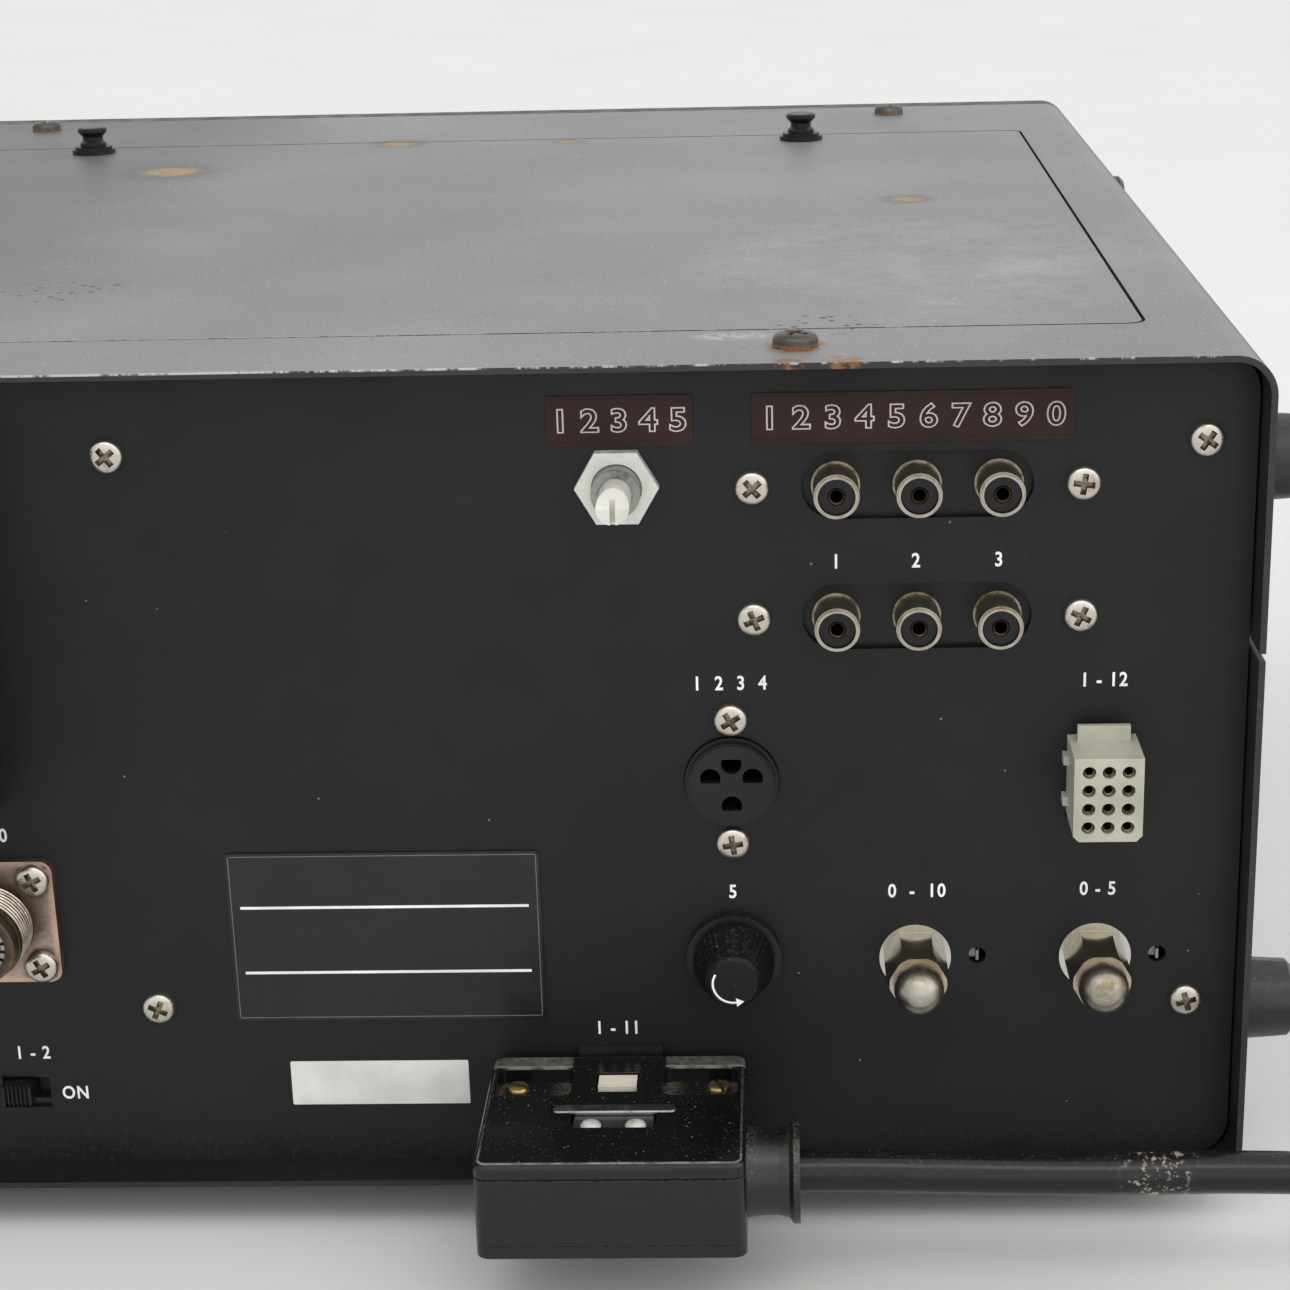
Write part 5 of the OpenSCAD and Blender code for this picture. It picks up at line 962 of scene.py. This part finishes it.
def make_tape(name, s0, s1, body, spread):
    """Strip of embossed tape with raised numbers that show pale where the plastic is stretched."""
    middle = (s0 + s1) / 2
    height = 152.0
    half_long = (s1 - s0) / 2
    half_tall = 4.7
    place = rear_place(middle, height)
    bm = bmesh.new()
    add_slab(bm, -half_long, -half_tall, half_long, half_tall, 0.0, 0.34, place, 0.35, 2)
    for y in (-4.05, 3.75):
        add_slab(bm, -half_long + 0.2, y, half_long - 0.2, y + 0.3, 0.3, 0.42, place)
    piece(name, bm, TAPE)
    digits = rear_place(middle, height - 0.1, 0.3)
    form = {"size": 5.9, "place": digits, "weight": 0.12, "spread": spread, "wide": 1.12}
    raised = bmesh.new()
    add_text(raised, body, wire=0.17, **form)
    piece(name + "_digits", raised, PALE_TAPE, smooth=60)
    filled = bmesh.new()
    add_text(filled, body, depth=0.12, **form)
    piece(name + "_fill", filled, TAPE)


def make_plates():
    place = rear_place(165.65, 50.05)
    half_x = 30.35
    half_y = 17.75
    plate = bmesh.new()
    add_slab(plate, -half_x, -half_y, half_x, half_y, 0.0, 0.45, place, 0.8)
    piece("bare_plate", plate, PLATE, smooth=30)
    border = bmesh.new()
    rules = bmesh.new()
    line = 0.18
    line_x = 29.8
    line_y = 17.18
    for y in (-line_y, line_y - line):
        add_slab(border, -line_x, y, line_x, y + line, 0.4, 0.5, place)
    for x in (-line_x, line_x - line):
        add_slab(border, x, -line_y, x + line, line_y, 0.4, 0.5, place)
    for y in (-7.7, 6.1):
        add_slab(rules, -28.0, y, 28.0, y + 0.55, 0.4, 0.5, place)
    piece("bare_plate_border", border, PLATE_EDGE)
    piece("bare_plate_rules", rules, WHITE)
    sticker = bmesh.new()
    add_slab(sticker, -17.65, -4.75, 17.65, 4.75, 0.0, 0.12, rear_place(168.75, 18.35), 0.25, 2)
    piece("bare_sticker", sticker, LABEL)


make_legends()
make_tape("short_tape", 103.8, 130.5, "12345", 1.62)
make_tape("long_tape", 34.9, 93.1, "1234567890", 1.74)
make_plates()


# Small parts of the rear fittings

def make_contacts():
    sleeve = [(0.75, 0.2), (1.18, 0.2), (1.18, 6.9), (1.0, 7.1), (0.78, 6.9), (0.75, 0.2)]
    cup = [(1.2, -1.3), (1.58, -1.3), (1.58, 7.6), (1.45, 7.9), (1.2, 7.7), (1.2, -1.3)]
    bm = bmesh.new()
    for i in (-1, 0, 1):
        for j in (-1.5, -0.5, 0.5, 1.5):
            place = rear_place(PINS_S - i * PINS_PITCH, PINS_H + j * PINS_PITCH, PINS_OUT)
            add_revolved(bm, sleeve, place, 16)
    piece("connector_contacts", bm, CONTACT, smooth=40)
    cups = bmesh.new()
    for h in JACK_ROWS:
        for j in (-1, 0, 1):
            add_revolved(cups, cup, rear_place(JACK_S + j * JACK_PITCH, h), 20)
    piece("jack_contacts", cups, JACK_CUP, smooth=40)


def make_antenna_parts():
    """Screw thread round the antenna socket's barrel, teeth on its rim, dark red insulator inside it."""
    place = rear_place(AERIAL_S, AERIAL_H)
    profile = []
    for k in range(7):
        z = 3.0 + THREAD_PITCH * k
        profile += [(THREAD_ROOT, z), (THREAD_CREST, z + 0.42)]
        profile += [(THREAD_CREST, z + 0.56), (THREAD_ROOT, z + 0.98)]
    profile.append((THREAD_ROOT, 10.9))
    bm = bmesh.new()
    add_revolved(bm, profile, place, 48)
    piece("antenna_thread", bm, THREAD, smooth=20)
    sleeve = bmesh.new()
    add_revolved(sleeve, [(4.05, 5.0), (4.05, 11.55), (1.8, 11.55), (1.8, 5.2)], place)
    piece("antenna_insulator", sleeve, INSULATOR, smooth=40)
    teeth = bmesh.new()
    for k in range(20):
        turned = place @ Matrix.Rotation(math.radians(18.0 * k), 4, "Z")
        add_slab(teeth, 4.9, -0.5, 5.9, 0.5, 10.5, 13.6, turned)
    face_out(teeth)
    piece("antenna_teeth", teeth, POT_METAL)


def make_clip():
    """Spring plate of the hood's latch with two rivets, and the ribs on the block behind the latch."""
    place = Matrix.Translation((PLUG_X, REAR_Y, PLUG_TOP)) @ Matrix.Diagonal((-1, 1, 1, 1))
    bm = bmesh.new()
    add_slab(bm, -11.7, 22.5, 11.7, 25.3, -0.8, 0.15, place, 1.2)
    add_slab(bm, -7.7, 24.5, 7.7, 31.0, -1.5, -0.8, place, 1.2)
    face_out(bm)
    plate = piece("latch_spring", bm, SPRING, smooth=30)
    soften(plate, 0.0003, 40.0)
    rivets = bmesh.new()
    for d in (-1, 1):
        at = Matrix.Translation((PLUG_X + d * 0.0042, REAR_Y + 0.0290, PLUG_TOP - 0.0010))
        add_revolved(rivets, [(2.0, 0.0), (2.0, 0.25), (1.7, 0.7), (1.0, 1.0), (0.02, 1.1)], at, 20)
    piece("latch_rivets", rivets, ZINC, smooth=50)
    ribs = bmesh.new()
    for k in range(9):
        x = -3.6 + 0.9 * k
        add_slab(ribs, x - 0.2, 3.6, x + 0.2, 7.4, -0.4, 0.16, place)
    face_out(ribs)
    piece("block_ribs", ribs, HOOD)


def make_fuse_arrow():
    bm = bmesh.new()
    place = rear_place(FUSE_S, FUSE_H, 13.0)
    inner, outer = 3.7, 4.1
    ring = []
    for k in range(17):
        a = math.radians(150 + 8 * k)
        ring.append((polar(inner, a, 0.05), polar(outer, a, 0.05)))
    for (a, b), (c, d) in zip(ring, ring[1:]):
        bm.faces.new([bm.verts.new(place @ (v / 1000)) for v in (a, b, d, c)])
    a = math.radians(278)
    along = Vector((-math.sin(a), math.cos(a), 0))
    across = Vector((math.cos(a), math.sin(a), 0))
    root = across * (inner + outer) / 2 + Vector((0, 0, 0.05))
    tip = [root - across * 0.9, root + across * 0.9, root + along * 1.5]
    bm.faces.new([bm.verts.new(place @ (v / 1000)) for v in tip])
    bmesh.ops.remove_doubles(bm, verts=bm.verts, dist=1e-7)
    piece("fuse_arrow", bm, WHITE, "fuse_cap")


make_contacts()
make_antenna_parts()
make_clip()
make_fuse_arrow()


# Front scales and pointer lines

def add_tick(bm, place, angle, r0, r1, width, z):
    """Radial line from r0 to r1, clockwise by angle from straight up."""
    turned = place @ Matrix.Rotation(math.radians(-angle), 4, "Z")
    add_slab(bm, -width / 2, r0, width / 2, r1, z, z + 0.05, turned)


def add_number(bm, place, angle, radius, body, size, upright):
    turned = place @ Matrix.Rotation(math.radians(-angle), 4, "Z")
    turned = turned @ Matrix.Translation((0, radius / 1000, 0))
    if upright:
        turned = turned @ Matrix.Rotation(math.radians(angle), 4, "Z")
    add_text(bm, body, size, turned, 0.03)


def make_front_marks():
    bm = bmesh.new()
    scales = (("band_knob", 105, 8, 1), ("mode_knob", 60, 5, 1),
              ("preselector_knob", 140, 11, 0), ("gain_knob", 140, 11, 0))
    for knob, reach, count, first in scales:
        x, h, width = KNOBS[knob][:3]
        radius = width / 2
        place = front_place(x, h, 0.02)
        for k in range(count):
            angle = -reach + 2 * reach * k / (count - 1)
            add_tick(bm, place, angle, radius + 1.2, radius + 3.0, 0.5, 0.0)
            if count < 9 or k % 2 == 0:
                add_number(bm, place, angle, radius + 5.4, str(first + k), 3.4, True)
    add_text(bm, "ON", 3.4, front_place(-148.0, 71.0, 0.05), 0.03)
    piece("front_numbers", bm, INK)

    dial = bmesh.new()
    x, h = KNOBS["tuning_knob"][:2]
    place = front_place(x, h, DIAL_FACE)
    for k in range(61):
        angle = -150 + 5 * k
        long_tick = k % 4 == 0
        add_tick(dial, place, angle, 46.4 if long_tick else 48.0, 50.0, 0.35, 0.0)
        if long_tick:
            add_number(dial, place, angle, 41.8, str((k // 4) * 5), 5.0, False)
    piece("dial_numbers", dial, INK, "dial")
    index = bmesh.new()
    add_slab(index, -0.25, 121.6, 0.25, 136.4, -3.4, -3.1, front_place(x, 0.0))
    piece("dial_index", index, RED)

    meter = bmesh.new()
    place = front_place(METER_X, METER_H, METER_FACE)
    for k in range(17):
        angle = -40 + 5 * k
        add_tick(meter, place, angle, 27.0, 30.5 if k % 4 == 0 else 29.0, 0.3, 0.0)
        if k % 4 == 0:
            add_number(meter, place, angle, 24.3, str(1 + k // 2), 3.2, True)
        if k:
            for part in range(4):
                add_tick(meter, place, angle - 5 + 1.25 * (part + 0.5), 26.8, 27.1, 0.62, 0.0)
    piece("meter_scale", meter, INK)


def make_pointers():
    for body, (x, h, width, length) in KNOBS.items():
        bm = bmesh.new()
        add_slab(bm, -0.42, width * 0.3 + 0.1, 0.42, width * 0.375, length + 0.55, length + 1.15,
                 front_place(x, h))
        piece(body + "_pointer", bm, WHITE, body)


def make_tube_plates():
    """Dark anodes inside the two output tubes."""
    anode = [(3.0, 18.0), (10.0, 20.0), (10.5, 30.0), (10.5, 58.0), (9.0, 61.0), (3.0, 62.0)]
    bm = bmesh.new()
    low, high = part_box("output_tubes")
    radius = 0.019
    for x in (low.x + radius, high.x - radius):
        place = Matrix.Translation((x, (low.y + high.y) / 2, low.z))
        add_revolved(bm, anode, place, 8)
    piece("tube_plates", bm, CONTACT, smooth=20)


make_front_marks()
make_pointers()
make_tube_plates()


# Floor and light

def make_floor():
    bm = bmesh.new()
    bmesh.ops.create_grid(bm, x_segments=2, y_segments=2, size=14.0)
    mesh = to_mesh("floor", bm)
    p = Paint("floor_paint")
    tone = p.mix(p.span(p.noise(6.0, 4.0, 0.6), 0.3, 0.7), (0.722, 0.716, 0.704), (0.742, 0.736, 0.724))
    p.set(Base_Color=tone, Roughness=0.85, Specular_IOR_Level=0.15)
    mesh.materials.append(p.material)
    floor = new_object("floor", mesh)
    floor.location.z = -0.0002


def make_world():
    scene.world = bpy.data.worlds.new("studio")
    sky = Nodes(scene.world, "Background")
    facing = {0: sky.add("TexCoord", {}, "Generated"), 1: (-0.66, 0.68, 0.32)}
    toward = sky.add("VectorMath", facing, "Value", operation="DOT_PRODUCT")
    sky.set(Color=(0.985, 0.99, 1.0), Strength=sky.span(toward, -0.7, 0.9, 0.76, 1.42))


def make_lamp(name, place, target, size, power):
    data = bpy.data.lights.new(name, "AREA")
    data.shape = "RECTANGLE"
    data.size, data.size_y = size
    data.energy = power
    lamp = new_object(name, data)
    lamp.location = place
    lamp.rotation_euler = (Vector(target) - Vector(place)).to_track_quat("-Z", "Y").to_euler()


make_floor()
make_world()
make_lamp("overhead", (-0.05, 0.85, 1.15), target=(-0.05, 0.17, 0.08), size=(1.2, 0.4), power=2.6)
make_lamp("fill", (-2.2, 1.4, 1.6), target=(-0.1, 0.2, 0.05), size=(1.6, 1.6), power=5.0)
